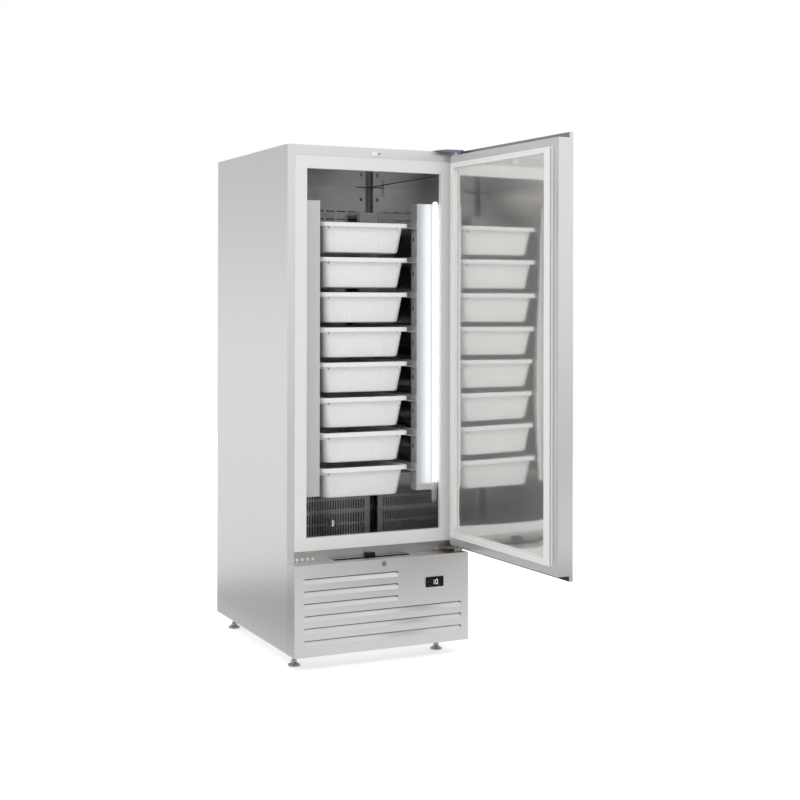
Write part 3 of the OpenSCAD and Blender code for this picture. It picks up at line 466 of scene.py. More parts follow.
class Palette:
    """Every finish of the cabinet, built once."""

    def __init__(self) -> None:
        """Builds the materials."""
        finishes = {
            "side": GrainedSteel("satin_steel_side", (0.735, 0.735, 0.73), Axis.Z, 0.33),
            "flange": GrainedSteel("satin_steel_flange", (0.74, 0.74, 0.735), Axis.Z, 0.30),
            # Strip steel darkened far below the other satin steel: painted shade from the ledge
            # below it and from the open door.
            "strip": GrainedSteel("satin_steel_strip", (0.42, 0.42, 0.41), Axis.X, 0.30),
            "panel": GrainedSteel("satin_steel_panel", (0.66, 0.66, 0.65), Axis.X, 0.30),
            "door_edge": GrainedSteel("satin_steel_door", (0.735, 0.74, 0.745), Axis.Z, 0.30),
            "liner": MirrorSteel("polished_steel_liner", (0.56, 0.55, 0.54), 0.08, 0.0016),
            # Dark grey base colour on the rear wall's polished steel: painted shade seen through
            # the slots and gaps of the air covers.
            "liner_back": MirrorSteel("polished_steel_rear", (0.20, 0.20, 0.20), 0.12, 0.001),
            "ceiling": MirrorSteel("polished_steel_ceiling", (0.70, 0.69, 0.68), 0.05, 0.0022),
            "basin": MirrorSteel("polished_steel_basin", (0.52, 0.52, 0.52), 0.045, 0.0),
            "mirror": MirrorSteel("polished_steel_door", (0.87, 0.865, 0.85), 0.045, 0.0,
                                  metallic=0.95, haze=0.9),
            "duct": GrainedSteel("satin_steel_duct", (0.66, 0.65, 0.64), Axis.X, 0.24),
            "rack": GrainedSteel("satin_steel_rack", (0.62, 0.612, 0.60), Axis.Z, 0.37,
                                 metallic=0.80, wash=LampWash()),
            "galvanised": Plated("galvanised_sheet", (0.50, 0.52, 0.54), (0.62, 0.64, 0.66), 0.45),
            # Colours of the door's lip strips are painted reflection: the warm room above, the dark
            # floor below.
            "lip_top": GrainedSteel("door_lip_upper", (0.35, 0.30, 0.26), Axis.X, 0.30),
            "lip_low": GrainedSteel("door_lip_lower", (0.05, 0.048, 0.045), Axis.X, 0.30),
            "plug": Plated("lock_plug_plating", (0.30, 0.30, 0.31), (0.40, 0.40, 0.41), 0.3),
            "hinge_low": Plated("brown_chromate", (0.30, 0.26, 0.22), (0.46, 0.41, 0.35), 0.3),
            "zinc": Plated("zinc_plating", (0.55, 0.55, 0.56), (0.70, 0.70, 0.70), 0.3),
            "hinge": Plated("dark_chromate", (0.12, 0.15, 0.20), (0.30, 0.35, 0.42), 0.28),
            "chrome": Plated("chrome_plating", (0.86, 0.86, 0.86), (0.78, 0.78, 0.79), 0.14),
            "dark_screw": Plated("dark_screw_plating", (0.10, 0.10, 0.10), (0.20, 0.20, 0.20), 0.3),
            "aluminium": GrainedSteel("drawn_aluminium", (0.76, 0.77, 0.78), Axis.Z, 0.32),
            "copper": Plated("copper_tube", (0.72, 0.38, 0.22), (0.56, 0.30, 0.19), 0.26),
            "black_metal": Plated("black_enamel", (0.02, 0.02, 0.022), (0.035, 0.035, 0.037),
                                  0.32, 0.0),
            "foot": Plated("foot_plating", (0.34, 0.31, 0.28), (0.52, 0.49, 0.45), 0.26),
            "white_frame": Moulded("white_frame_plastic", (0.77, 0.77, 0.76), 0.40),
            "white_tub": Moulded("white_tub_plastic", (0.90, 0.90, 0.89), 0.38),
            "white_part": Moulded("white_small_part", (0.84, 0.84, 0.82), 0.36),
            "grey_part": Moulded("grey_small_part", (0.25, 0.25, 0.26), 0.42),
            "black_part": Moulded("black_small_part", (0.006, 0.006, 0.007), 0.22, specular=0.25),
            "mark": Moulded("display_touch_mark", (0.07, 0.08, 0.085), 0.4),
            "bush": Moulded("brown_bush_plastic", (0.10, 0.065, 0.045), 0.45),
            # Grey of the loop in the seal's recess: painted shade of the fold in the white rubber.
            "fold": Moulded("seal_fold_rubber", (0.50, 0.50, 0.49), 0.50),
            "seal": Moulded("white_seal_rubber", (0.82, 0.82, 0.81), 0.50),
            "sealant": Moulded("grey_sealant", (0.09, 0.09, 0.09), 0.55),
            "foam": Foamed("rigid_foam", (0.80, 0.72, 0.48)),
            "lamp": Glowing("lit_lamp_cover", (0.92, 0.97, 1.0), 5.0),
            "digits": Glowing("lit_digits", (0.72, 0.86, 0.92), 0.9),
        }
        self.materials = {key: finish.build() for key, finish in finishes.items()}

    def __getitem__(self, key: str) -> bpy.types.Material:
        """The material of a finish."""
        return self.materials[key]


def linked(name: str, data: bpy.types.ID) -> bpy.types.Object:
    """Makes an object in the scene.

    Args:
        name: Name of the object.
        data: Its mesh, light or camera.

    Returns:
        The object.
    """
    thing = bpy.data.objects.new(name, data)
    bpy.context.scene.collection.objects.link(thing)
    return thing


def baked(carrier: bpy.types.Object) -> bpy.types.Mesh:
    """The evaluated mesh of an object, which is removed.

    Args:
        carrier: Object with its modifiers.

    Returns:
        A plain mesh.
    """
    graph = bpy.context.evaluated_depsgraph_get()
    graph.update()
    mesh = bpy.data.meshes.new_from_object(carrier.evaluated_get(graph))
    mesh.name = carrier.name + "_mesh"
    bpy.data.objects.remove(carrier)
    return mesh


class Dresser:
    """Puts materials on CAD nodes and hands finished meshes to the frame."""

    def __init__(self, palette: Palette) -> None:
        """Keeps the palette, and the slots and bodies of the record.

        Args:
            palette: The finishes.
        """
        self.palette = palette
        record = frame["record"]
        self.slots = {part["node"]: part["material_slot"] for part in record["subparts"]}
        self.bodies = {node: body for body, nodes in record["behaviour"]["bodies"].items()
                       for node in nodes}

    def paint(self, finish: str, *nodes: str) -> None:
        """Gives CAD nodes a finish.

        Args:
            finish: Name of the finish.
            nodes: Names of the nodes.
        """
        for node in nodes:
            slots = frame["nodes"][node].data.materials
            slots.clear()
            slots.append(self.palette[finish])

    def hand_in(self, name: str, mesh: bpy.types.Mesh, finish: str | None,
                body: str = "cabinet", nodes: Sequence[str] = (), slot: str | None = None,
                crease: float = 32.0) -> None:
        """Links a finished mesh, dresses it and rides it on its body.

        Args:
            name: Name of the piece.
            mesh: Its mesh, in the frame's coordinates.
            finish: Name of the finish, or None for a mesh that has its materials.
            body: The CAD body that carries it.
            nodes: CAD nodes that it stands for.
            slot: Material slot of the record.
            crease: Angle in degrees above which an edge stays sharp.
        """
        if finish is not None:
            mesh.materials.clear()
            mesh.materials.append(self.palette[finish])
        if not mesh.has_custom_normals:
            mesh.polygons.foreach_set("use_smooth", [True] * len(mesh.polygons))
            mesh.set_sharp_from_angle(angle=math.radians(crease))
        piece = linked(name, mesh)
        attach(piece, body)
        if nodes:
            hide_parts(*nodes)
            slot = slot or self.slots[nodes[0]]
        LOG.info("%s: %d faces on %s", name, len(mesh.polygons), body)

    def eased(self, finish: str, width: float, *nodes: str, segments: int = 2) -> None:
        """Stands copies with softened edges in for CAD nodes.

        Args:
            finish: Name of the finish.
            width: Width of the edge round in metres.
            nodes: Names of the nodes.
            segments: Faces across the round.
        """
        for node in nodes:
            source = frame["nodes"][node].data
            shape = bmesh.new()
            corners = [shape.verts.new(v.co) for v in source.vertices]
            for polygon in source.polygons:
                shape.faces.new([corners[i] for i in polygon.vertices])
            bmesh.ops.remove_doubles(shape, verts=shape.verts, dist=2e-5)
            bmesh.ops.dissolve_limit(shape, angle_limit=math.radians(0.6), verts=shape.verts,
                                     edges=shape.edges)
            mesh = bpy.data.meshes.new(node)
            shape.to_mesh(mesh)
            shape.free()
            mesh.polygons.foreach_set("use_smooth", [True] * len(mesh.polygons))
            carrier = linked(node + "_bevel", mesh)
            bevel = carrier.modifiers.new("edges", "BEVEL")
            bevel.width, bevel.segments = width, segments
            bevel.limit_method, bevel.angle_limit = "ANGLE", math.radians(40)
            bevel.use_clamp_overlap = True
            carrier.modifiers.new("flats", "WEIGHTED_NORMAL").keep_sharp = True
            self.hand_in(node + "_eased", baked(carrier), finish, self.bodies[node], [node],
                         crease=50.0)


class Shape:
    """Collects closed solids in one mesh. Lengths are in metres."""

    def __init__(self) -> None:
        """Starts with an empty mesh."""
        self.mesh = bmesh.new()

    def skin(self, rings: Sequence[Sequence[Point]], closed: bool = False) -> None:
        """Joins rings of equal length into a surface, capped at both ends unless it closes.

        Args:
            rings: The rings, in order.
            closed: Whether the last ring joins the first.
        """
        rows = [[self.mesh.verts.new(p) for p in ring] for ring in rings]
        count = len(rows[0])
        pairs = list(zip(rows, rows[1:] + rows[:1])) if closed else list(zip(rows, rows[1:]))
        for lower, upper in pairs:
            for i in range(count):
                j = (i + 1) % count
                self.mesh.faces.new([lower[i], lower[j], upper[j], upper[i]])
        if not closed:
            self.mesh.faces.new(list(reversed(rows[0])))
            self.mesh.faces.new(rows[-1])

    def block(self, low: Point, high: Point, round_off: float = 0.0) -> None:
        """Adds a box, with rounded edges where asked.

        Args:
            low: Lowest corner.
            high: Highest corner.
            round_off: Radius of the edges.
        """
        size = Vector(high) - Vector(low)
        place = Matrix.Translation((Vector(low) + Vector(high)) / 2)
        made = bmesh.ops.create_cube(self.mesh, size=1.0,
                                     matrix=place @ Matrix.Diagonal((*size, 1.0)))
        if round_off:
            edges = {e for v in made["verts"] for e in v.link_edges}
            bmesh.ops.bevel(self.mesh, geom=list(edges), offset=round_off, segments=2,
                            affect="EDGES", profile=0.5)

    def turned(self, profile: Sequence[Pair], place: Point, along: Point, steps: int,
               closed: bool = False) -> None:
        """Adds a shape turned about an axis.

        Args:
            profile: Pairs of radius and distance along the axis.
            place: Point where the distance is zero.
            along: Direction of the axis.
            steps: Faces round the axis.
            closed: Whether the profile closes, as on a ring.
        """
        turn = Vector((0, 0, 1)).rotation_difference(Vector(along)).to_matrix()
        angles = [2 * math.pi * step / steps for step in range(steps)]
        self.skin([[tuple(turn @ Vector((radius * math.cos(a), radius * math.sin(a), distance))
                          + Vector(place)) for a in angles] for radius, distance in profile],
                  closed)

    def tube(self, path: Sequence[Point], radius: float, steps: int = 14) -> None:
        """Adds a round tube along a line.

        Args:
            path: Points of its middle line.
            radius: Its radius.
            steps: Faces round the tube.
        """
        rings = []
        angles = [2 * math.pi * step / steps for step in range(steps)]
        for index, point in enumerate(path):
            before, after = path[max(index - 1, 0)], path[min(index + 1, len(path) - 1)]
            way = (Vector(after) - Vector(before)).normalized()
            aside = way.cross(Vector((0, 1, 0))).normalized()
            up = aside.cross(way)
            rings.append([tuple(Vector(point) + radius * (math.cos(a) * aside + math.sin(a) * up))
                          for a in angles])
        self.skin(rings)

    def mesh_data(self, name: str) -> bpy.types.Mesh:
        """Ends the shape with its faces turned outward.

        Args:
            name: Name of the mesh.

        Returns:
            The mesh.
        """
        bmesh.ops.remove_doubles(self.mesh, verts=self.mesh.verts, dist=1e-6)
        bmesh.ops.recalc_face_normals(self.mesh, faces=self.mesh.faces)
        mesh = bpy.data.meshes.new(name)
        self.mesh.to_mesh(mesh)
        self.mesh.free()
        return mesh


def rounded_ring(middle: Point, width: float, depth: float, radius: float,
                 steps: int = 8) -> list[Point]:
    """Points of a rounded rectangle in a level plane.

    Args:
        middle: Its centre.
        width: Size along X.
        depth: Size along Y.
        radius: Corner radius.
        steps: Faces along each corner.

    Returns:
        The points, in order.
    """
    points = []
    for corner, (sx, sy) in enumerate(((1, 1), (-1, 1), (-1, -1), (1, -1))):
        for step in range(steps + 1):
            angle = math.pi / 2 * (corner + step / steps)
            points.append((middle[0] + sx * (width / 2 - radius) + radius * math.cos(angle),
                           middle[1] + sy * (depth / 2 - radius) + radius * math.sin(angle),
                           middle[2]))
    return points


class Recipe(Nodes):
    """Geometry Nodes tree with named inputs that is evaluated into a plain mesh."""

    def __init__(self, name: str, **inputs: float | int) -> None:
        """Starts the tree.

        Args:
            name: Name of the tree.
            inputs: Name and value of each input, in order.
        """
        super().__init__(bpy.data.node_groups.new(name, "GeometryNodeTree"))
        face = self.tree.interface
        face.new_socket("Geometry", in_out="INPUT", socket_type="NodeSocketGeometry")
        face.new_socket("Geometry", in_out="OUTPUT", socket_type="NodeSocketGeometry")
        self.values: dict[str, float | int] = {}
        for label, value in inputs.items():
            kind = "NodeSocketInt" if isinstance(value, int) else "NodeSocketFloat"
            self.values[face.new_socket(label, in_out="INPUT", socket_type=kind).identifier] = value
        self.given = self.add("NodeGroupInput").outputs

    def triple(self, x: Socket | float, y: Socket | float, z: Socket | float) -> Socket:
        """A vector from three values."""
        return self.made("ShaderNodeCombineXYZ", {0: x, 1: y, 2: z})

    def line(self, count: str, start: Point, offset: Socket) -> Socket:
        """Points on a line: as many as an input says, a step apart."""
        return self.made("GeometryNodeMeshLine", {
            "Count": self.given[count], "Start Location": start, "Offset": offset})

    def copies(self, points: Socket, part: Socket, **more: Socket) -> Socket:
        """Sets a copy of a part on each point, with its rotation and scale where given."""
        return self.made("GeometryNodeInstanceOnPoints",
                         {"Points": points, "Instance": part, **more})

    def end(self, geometry: Socket, material: bpy.types.Material) -> None:
        """Ends the tree: copies become one mesh of one material.

        Args:
            geometry: What the tree has made.
            material: Its material.
        """
        solid = self.made("GeometryNodeRealizeInstances", {0: geometry})
        dressed = self.made("GeometryNodeSetMaterial", {"Geometry": solid, "Material": material})
        self.put(dressed, self.add("NodeGroupOutput").inputs[0])

    def run(self, base: bpy.types.Mesh, *carriers: bpy.types.Object) -> bpy.types.Mesh:
        """Evaluates the tree on a mesh.

        Args:
            base: The mesh that goes in.
            carriers: Objects that the tree copies, which are removed.

        Returns:
            A plain mesh with its material.
        """
        holder = linked(self.tree.name, base)
        rule = holder.modifiers.new("rule", "NODES")
        rule.node_group = self.tree
        for identifier, value in self.values.items():
            rule[identifier] = value
        mesh = baked(holder)
        for carrier in carriers:
            bpy.data.objects.remove(carrier)
        return mesh


@dataclass
class Assembly:
    """Part of the cabinet that is dressed as one."""

    dresser: Dresser

    def screws(self, name: str, places: Sequence[tuple[Point, Point]], size: float,
               finish: str = "zinc") -> None:
        """Sets screw heads on the cabinet.

        Args:
            name: Name of the piece.
            places: Point on the surface and outward direction of each head.
            size: Radius of a head.
            finish: Name of the finish.
        """
        base = bpy.data.meshes.new(name)
        base.from_pydata([place for place, _ in places], [], [])
        facing = base.attributes.new("facing", "FLOAT_VECTOR", "POINT")
        facing.data.foreach_set("vector", [value for _, way in places for value in way])
        shape = Shape()
        shape.turned([(0.02, -0.3), (1.0, -0.3), (1.0, 0.25), (0.93, 0.42), (0.72, 0.6),
                      (0.5, 0.66), (0.46, 0.62), (0.42, 0.12), (0.02, 0.1)],
                     (0, 0, 0), (0, 0, 1), 18)
        head = linked("head", shape.mesh_data("head"))
        recipe = Recipe(name, Size=size)
        part = recipe.made("GeometryNodeObjectInfo", {"Object": head}, "Geometry")
        way = recipe.made("GeometryNodeInputNamedAttribute", {"Name": "facing"},
                          data_type="FLOAT_VECTOR")
        turn = recipe.made("FunctionNodeAlignRotationToVector", {"Vector": way}, axis="Z")
        recipe.end(recipe.copies(recipe.given["Geometry"], part, Rotation=turn,
                                 Scale=recipe.given["Size"]), self.dresser.palette[finish])
        self.dresser.hand_in(name, recipe.run(base, head), None, slot="steel_zinc")


@dataclass(frozen=True)
class Patch:
    """Part of the surroundings that reflections see at a level of its own.

    In the sky the sizes are degrees. On the floor they are metres along X and Y.
    """

    azimuth: float
    elevation: float
    width: float
    height: float
    soft: float
    level: float


@dataclass
class Studio:
    """Camera, floor and light. Nothing here belongs to the object."""

    lens: float = 62.3
    shift: tuple[float, float] = (0.0454, -0.1333)
    place: Point = (-2.3259, -4.8705, 1.3949)
    yaw: float = 0.437
    pitch: float = 0.005
    roll: float = 0.002
    ambient: float = 0.92
    patches: tuple[Patch, ...] = (
        Patch(-155.0, 24.0, 64.0, 44.0, 10.0, 0.62),
        Patch(-38.0, 5.0, 36.0, 40.0, 8.0, 0.30),
        Patch(28.0, -6.5, 100.0, 6.0, 3.0, 0.40),
        Patch(0.0, 90.0, 360.0, 80.0, 10.0, 0.55),
        Patch(-19.0, 2.0, 14.0, 24.0, 4.0, 0.8),
        Patch(-38.0, -4.0, 14.0, 8.0, 2.0, 3.6),
    )
    floor_patches: tuple[Patch, ...] = (
        Patch(-1.6, 0.6, 2.3, 2.0, 0.8, 0.42),
        Patch(1.05, -2.1, 1.4, 1.8, 0.5, 0.08),
    )
    floor_box: tuple[Point, Point] = ((-6.0, -4.5, -0.02), (4.5, 9.0, 0.0))
    floor_mirrored: float = 0.95
    key: Point = (-2.6, -3.2, 4.2)
    key_target: Point = (0.0, 0.2, 1.0)
    key_size: float = 2.0
    key_power: float = 40.0

    def camera(self) -> None:
        """Sets the camera at the photograph's place."""
        data = bpy.data.cameras.new("camera")
        data.lens, data.sensor_width, data.clip_end = self.lens, 36.0, 100.0
        data.shift_x, data.shift_y = self.shift
        camera = linked("camera", data)
        turn = Matrix.Identity(4)
        for angle, axis in ((-self.yaw, "Z"), (math.pi / 2 + self.pitch, "X"), (self.roll, "Z")):
            turn = turn @ Matrix.Rotation(angle, 4, axis)
        camera.matrix_world = Matrix.Translation(self.place) @ turn
        bpy.context.scene.camera = camera

    def world(self) -> None:
        """Sets a pale world: white to the camera, with darker parts in reflections."""
        world = bpy.data.worlds.new("studio")
        bpy.context.scene.world = world
        world.use_nodes = True
        sky = Nodes(world.node_tree)
        x, y, z = sky.add("ShaderNodeSeparateXYZ").outputs
        sky.put(sky.add("ShaderNodeTexCoord").outputs["Generated"], x.node.inputs[0])
        azimuth = sky.calc("DEGREES", sky.calc("ARCTAN2", x, sky.calc("MULTIPLY", y, -1.0)))
        elevation = sky.calc("DEGREES", sky.calc("ARCSINE", z))
        mirrored = sky.patched(1.0, self.patches, azimuth, elevation)
        rays = sky.add("ShaderNodeLightPath").outputs
        shown = sky.calc("MAXIMUM", rays["Is Camera Ray"], rays["Is Transmission Ray"])
        level = sky.mixed(rays["Is Glossy Ray"], self.ambient, mirrored)
        back = world.node_tree.nodes["Background"].inputs
        back["Color"].default_value = WHITE
        sky.put(sky.mixed(shown, level, 1.0), back["Strength"])

    def floor(self) -> None:
        """Lays a pale floor that takes the object's shadow."""
        graph = Graph("studio_floor")
        rays = graph.add("ShaderNodeLightPath").outputs
        x, y, _ = graph.add("ShaderNodeSeparateXYZ").outputs
        graph.put(graph.place, x.node.inputs[0])
        mirrored = graph.patched(self.floor_mirrored, self.floor_patches, x, y)
        glow = graph.mixed(rays["Is Glossy Ray"], 0.0, mirrored)
        shape = Shape()
        shape.block(*self.floor_box)
        mesh = shape.mesh_data("floor")
        mesh.materials.append(graph.surface({
            "Base Color": graph.mixed(rays["Is Glossy Ray"], 0.9, 0.0), "Roughness": 0.9,
            "Specular IOR Level": 0.0, "Emission Color": WHITE,
            "Emission Strength": graph.mixed(rays["Is Camera Ray"], glow, 0.5)}))
        linked("floor", mesh)

    def lamp(self) -> None:
        """Adds the soft square light."""
        data = bpy.data.lights.new("key", "AREA")
        data.shape, data.energy = "RECTANGLE", self.key_power
        data.size = data.size_y = self.key_size
        light = linked("key", data)
        light.location = self.key
        way = Vector(self.key_target) - Vector(self.key)
        light.rotation_euler = way.to_track_quat("-Z", "Y").to_euler()
        light.visible_camera = False

    def build(self) -> None:
        """Sets up the whole studio."""
        bpy.context.scene.view_settings.view_transform = "Standard"
        self.camera()
        self.world()
        self.floor()
        self.lamp()
        LOG.info("studio ready")


@dataclass
class Shell(Assembly):
    """Outer panels, white frame and insulation."""

    back_y: float = 0.802
    margin: float = 0.009
    end_margin: float = 0.03
    side_screws: int = 8
    end_screws: tuple[float, ...] = (-0.22, -0.07, 0.07, 0.22)

    def build(self) -> None:
        """Paints the panels, softens their folded edges and sets the screws of the back panel."""
        self.dresser.eased("side", 0.0008, "side_panel_left", "side_panel_right", "roof_panel")
        self.dresser.eased("white_frame", 0.0012, "breaker_frame")
        # The under-pan strip takes the darkened steel with painted shade.
        self.dresser.paint("strip", "under_pan")
        self.dresser.paint("galvanised", "back_panel", "base_plate")
        self.dresser.paint("foam", "insulation")
        low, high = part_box("back_panel")
        first, tall = low.z + self.end_margin, high.z - low.z - 2 * self.end_margin
        spots = [(x, first + tall * step / (self.side_screws - 1))
                 for step in range(self.side_screws)
                 for x in (low.x + self.margin, high.x - self.margin)]
        spots += [(x, z) for x in self.end_screws
                  for z in (low.z + self.margin, high.z - self.margin)]
        self.screws("rear_screws", [((x, self.back_y, z), (0, 1, 0)) for x, z in spots], 0.0042)


@dataclass
class Vents(Assembly):
    """Pressed hoods over the air slots of the back panel."""

    columns: int = 20
    rows: int = 2
    pitch: float = 0.030
    row_pitch: float = 0.090
    first: Point = (-0.296, 0.802, 0.166)
    length: float = 0.070
    proud: float = 0.0029
    sheet: float = 0.0006

    def hood(self) -> bpy.types.Object:
        """Makes one hood, open along one long side and closed at both ends.

        Returns:
            Its carrier.
        """
        shape = Shape()
        rings = []
        starts = ((-0.0010, 0.05), (0.0015, 0.45), (0.0060, 1.0))
        for z, share in (*starts, *((self.length - z, share) for z, share in reversed(starts))):
            top = self.proud * share
            under = top - self.sheet
            rings.append([(-0.0052, top, z), (0.0002, top, z), (0.0038, top * 0.7, z),
                          (0.0056, 0.0, z), (0.0049, -0.0002, z), (0.0034, under * 0.7, z),
                          (0.0, under, z), (-0.0052, under, z)])
        shape.skin(rings)
        return linked("hood", shape.mesh_data("hood"))

    def build(self) -> None:
        """Sets the hoods in two rows."""
        recipe = Recipe("back_vent_hoods", Columns=self.columns, Pitch=self.pitch, Rows=self.rows,
                        RowPitch=self.row_pitch)
        hood = self.hood()
        part = recipe.made("GeometryNodeObjectInfo", {"Object": hood}, "Geometry")
        along = recipe.triple(recipe.given["Pitch"], 0.0, 0.0)
        upward = recipe.triple(0.0, 0.0, recipe.given["RowPitch"])
        row = recipe.copies(recipe.line("Columns", self.first, along), part)
        both = recipe.copies(recipe.line("Rows", (0.0, 0.0, 0.0), upward), row)
        recipe.end(both, self.dresser.palette["galvanised"])
        self.dresser.hand_in("back_vent_hoods", recipe.run(bpy.data.meshes.new("vents"), hood),
                             None, slot="steel_galvanised")


@dataclass
class Cavity(Assembly):
    """Polished inside of the cabinet, with its air covers and drain."""

    bead: float = 0.0022
    under_ceiling: float = 0.0002
    basin_edge: float = 0.014
    cover_front: float = 0.0092

    def build(self) -> None:
        """Paints the sheets and runs sealant along the upper and the rear corners."""
        for finish, nodes in (
                # The rear wall behind the air covers takes the polished steel with painted shade.
                ("liner", ["liner_sides"]), ("liner_back", ["liner_back"]),
                ("ceiling", ["liner_ceiling"]), ("basin", ["floor_basin"]),
                ("duct", ["intake_grille", "evaporator_cover", "back_duct_panel"]),
                ("grey_part", ["drain_pipe"])):
            self.dresser.paint(finish, *nodes)
        self.dresser.eased("chrome", 0.0006, "drain_plug")
        low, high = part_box("liner_sides")
        panel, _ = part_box("back_duct_panel")
        top = high.z - self.under_ceiling

        def ring(a: float, b: float, way: int) -> list[Pair]:
            """Section of a bead in a corner at a and b, that reaches from a along its way."""
            r, s = self.bead, way * self.bead
            return [(a, b), (a - s, b), (a - s * 0.7, b - r * 0.7), (a, b - r)]

        shape = Shape()
        for side in (-1, 1):
            x = side * high.x
            shape.skin([[(px, y, pz) for px, pz in ring(x, top, side)] for y in (low.y, high.y)])
            shape.skin([[(px, py, z) for px, py in ring(x, high.y, side)]
                        for z in (low.z + self.basin_edge, top)])
        shape.skin([[(x, py, pz) for py, pz in ring(panel.y + self.cover_front, top, 1)]
                    for x in (panel.x, -panel.x)])
        self.dresser.hand_in("sealant_seams", shape.mesh_data("seams"), "sealant",
                             slot="seal_white")


@dataclass
class Rack(Assembly):
    """Uprights and runners."""

    screw_x: float = 0.2343
    screw_y: float = 0.092
    screw_drop: float = 0.0295

    def build(self) -> None:
        """Softens the folded edges and sets a screw where a runner meets its front upright."""
        self.dresser.eased("rack", 0.0004, "uprights_front", "uprights_rear", "runners")
        tops = [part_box(f"tub_{number}")[1].z for number in TUBS]
        self.screws("runner_screws", [
            ((side * self.screw_x, self.screw_y, top - self.screw_drop), (-side, 0, 0))
            for top in tops for side in (-1, 1)], 0.0036)


@dataclass
class Lamp(Assembly):
    """Lamp on the right front upright."""

    screw_x: Pair = (0.300, 0.284)
    clip_y: float = 0.0547
    clip_z: float = 0.5885

    def build(self) -> None:
        """Softens the profile, lights the cover and sets the dark screws of the clip."""
        self.dresser.eased("aluminium", 0.0005, "lamp_profile")
        self.dresser.paint("lamp", "lamp_diffuser")
        self.screws("lamp_screws", [((x, self.clip_y, self.clip_z), (0, -1, 0))
                                    for x in self.screw_x], 0.0034, "dark_screw")


@dataclass
class Tubs(Assembly):
    """White tubs, each with a skirted rim, tapered walls and ribs."""

    wall: float = 0.003
    rim_height: float = 0.0175
    rim_over: float = 0.016
    foot_inset: float = 0.030
    corner: float = 0.026
    foot_corner: float = 0.030
    rib_places: tuple[float, ...] = (-0.22, -0.15, 0.15, 0.22)
    rib_half: float = 0.0034
    rib_crest: float = 0.0014
    rib_rings: tuple[Pair, ...] = ((0.010, 0.0003), (0.020, 0.0008))
    rib_proud: float = 0.0008
    sunk: float = 0.0004
    lug_places: Pair = (-0.39, 0.39)
    lug_half: float = 0.0035
    lug_height: float = 0.0125
    lug_reach: Pair = (-0.011, 0.002)
    lug_round: float = 0.0012

    def rings(self, low: Vector, high: Vector) -> list[list[Point]]:
        """Rings of the moulding, from the outer foot over the rim to the inner floor.

        Args:
            low: Lowest corner of the tub.
            high: Highest corner of the tub.

        Returns:
            The rings.
        """
        width, depth, height = high.x - low.x, high.y - low.y, high.z - low.z
        middle = ((low.x + high.x) / 2, (low.y + high.y) / 2)
        foot, over, wall, rim = self.foot_inset, self.rim_over, self.wall, self.rim_height
        under = height - rim

        def slope(z: float) -> float:
            """Inset of the outer wall at a height."""
            return foot + (over - foot) * z / height

        profile = [
            (foot + 0.020, 0.0, self.foot_corner - 0.010), (foot + 0.006, 0.0008, self.foot_corner),
            (foot + 0.0015, 0.0035, self.foot_corner), (foot - 0.0008, 0.009, self.foot_corner),
            (slope(under + 0.006), under + 0.006, self.corner - 0.008),
            (slope(under + 0.012) - 0.0006, under + rim - 0.004, self.corner - 0.008),
            (wall, under + rim - 0.0042, self.corner - wall),
            (wall, under + 0.0006, self.corner - wall),
            (wall - 0.0008, under, self.corner - wall), (0.0006, under, self.corner),
            (0.0, under + 0.0008, self.corner), (0.0, height - 0.0035, self.corner),
            (0.0009, height - 0.0012, self.corner), (0.003, height, self.corner - 0.002),
            (over - 0.001, height, self.corner - 0.008),
            (over + 0.002, height - 0.0012, self.corner - 0.009),
            (over + wall, height - 0.004, self.corner - 0.009),
            (foot + wall - 0.0006, 0.012, self.foot_corner - wall),
            (foot + wall + 0.0018, 0.006, self.foot_corner - wall),
            (foot + wall + 0.007, wall, self.foot_corner - wall),
            (foot + 0.020, wall, self.foot_corner - 0.010),
        ]
        return [rounded_ring((*middle, low.z + z), width - 2 * inset, depth - 2 * inset, radius)
                for inset, z, radius in profile]

    def ribs(self, shape: Shape, low: Vector, high: Vector) -> None:
        """Adds the upright ribs and the lugs of the front and back walls.

        Args:
            shape: The mesh to add to.
            low: Lowest corner of the tub.
            high: Highest corner of the tub.
        """
        width, height = high.x - low.x, high.z - low.z
        middle = (low.x + high.x) / 2
        top = height - self.rim_height + 0.002
        for face, sign in ((low.y, 1), (high.y, -1)):
            for place in self.rib_places:
                x = middle + place * width
                rings = []
                for z, proud in (*self.rib_rings, (top, self.rib_proud)):
                    inset = self.foot_inset + (self.rim_over - self.foot_inset) * z / height
                    y = face + sign * inset
                    root, crest = y + sign * self.sunk, y - sign * proud
                    rings.append([(x + aside, depth, low.z + z) for aside, depth in (
                        (-self.rib_half, root), (-self.rib_crest, crest),
                        (self.rib_crest, crest), (self.rib_half, root))])
                shape.skin(rings)
            near, far = sorted(face + sign * self.rim_over + sign * reach
                               for reach in self.lug_reach)
            for place in self.lug_places:
                x = middle + place * width
                shape.block((x - self.lug_half, near, low.z + top - self.lug_height),
                            (x + self.lug_half, far, low.z + top), self.lug_round)

    def build(self) -> None:
        """Makes each tub in place of its CAD node."""
        for number in TUBS:
            node = f"tub_{number}"
            low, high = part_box(node)
            shape = Shape()
            shape.skin(self.rings(low, high))
            self.ribs(shape, low, high)
            self.dresser.hand_in(node + "_moulding", shape.mesh_data(node), "white_tub", node,
                                 [node])


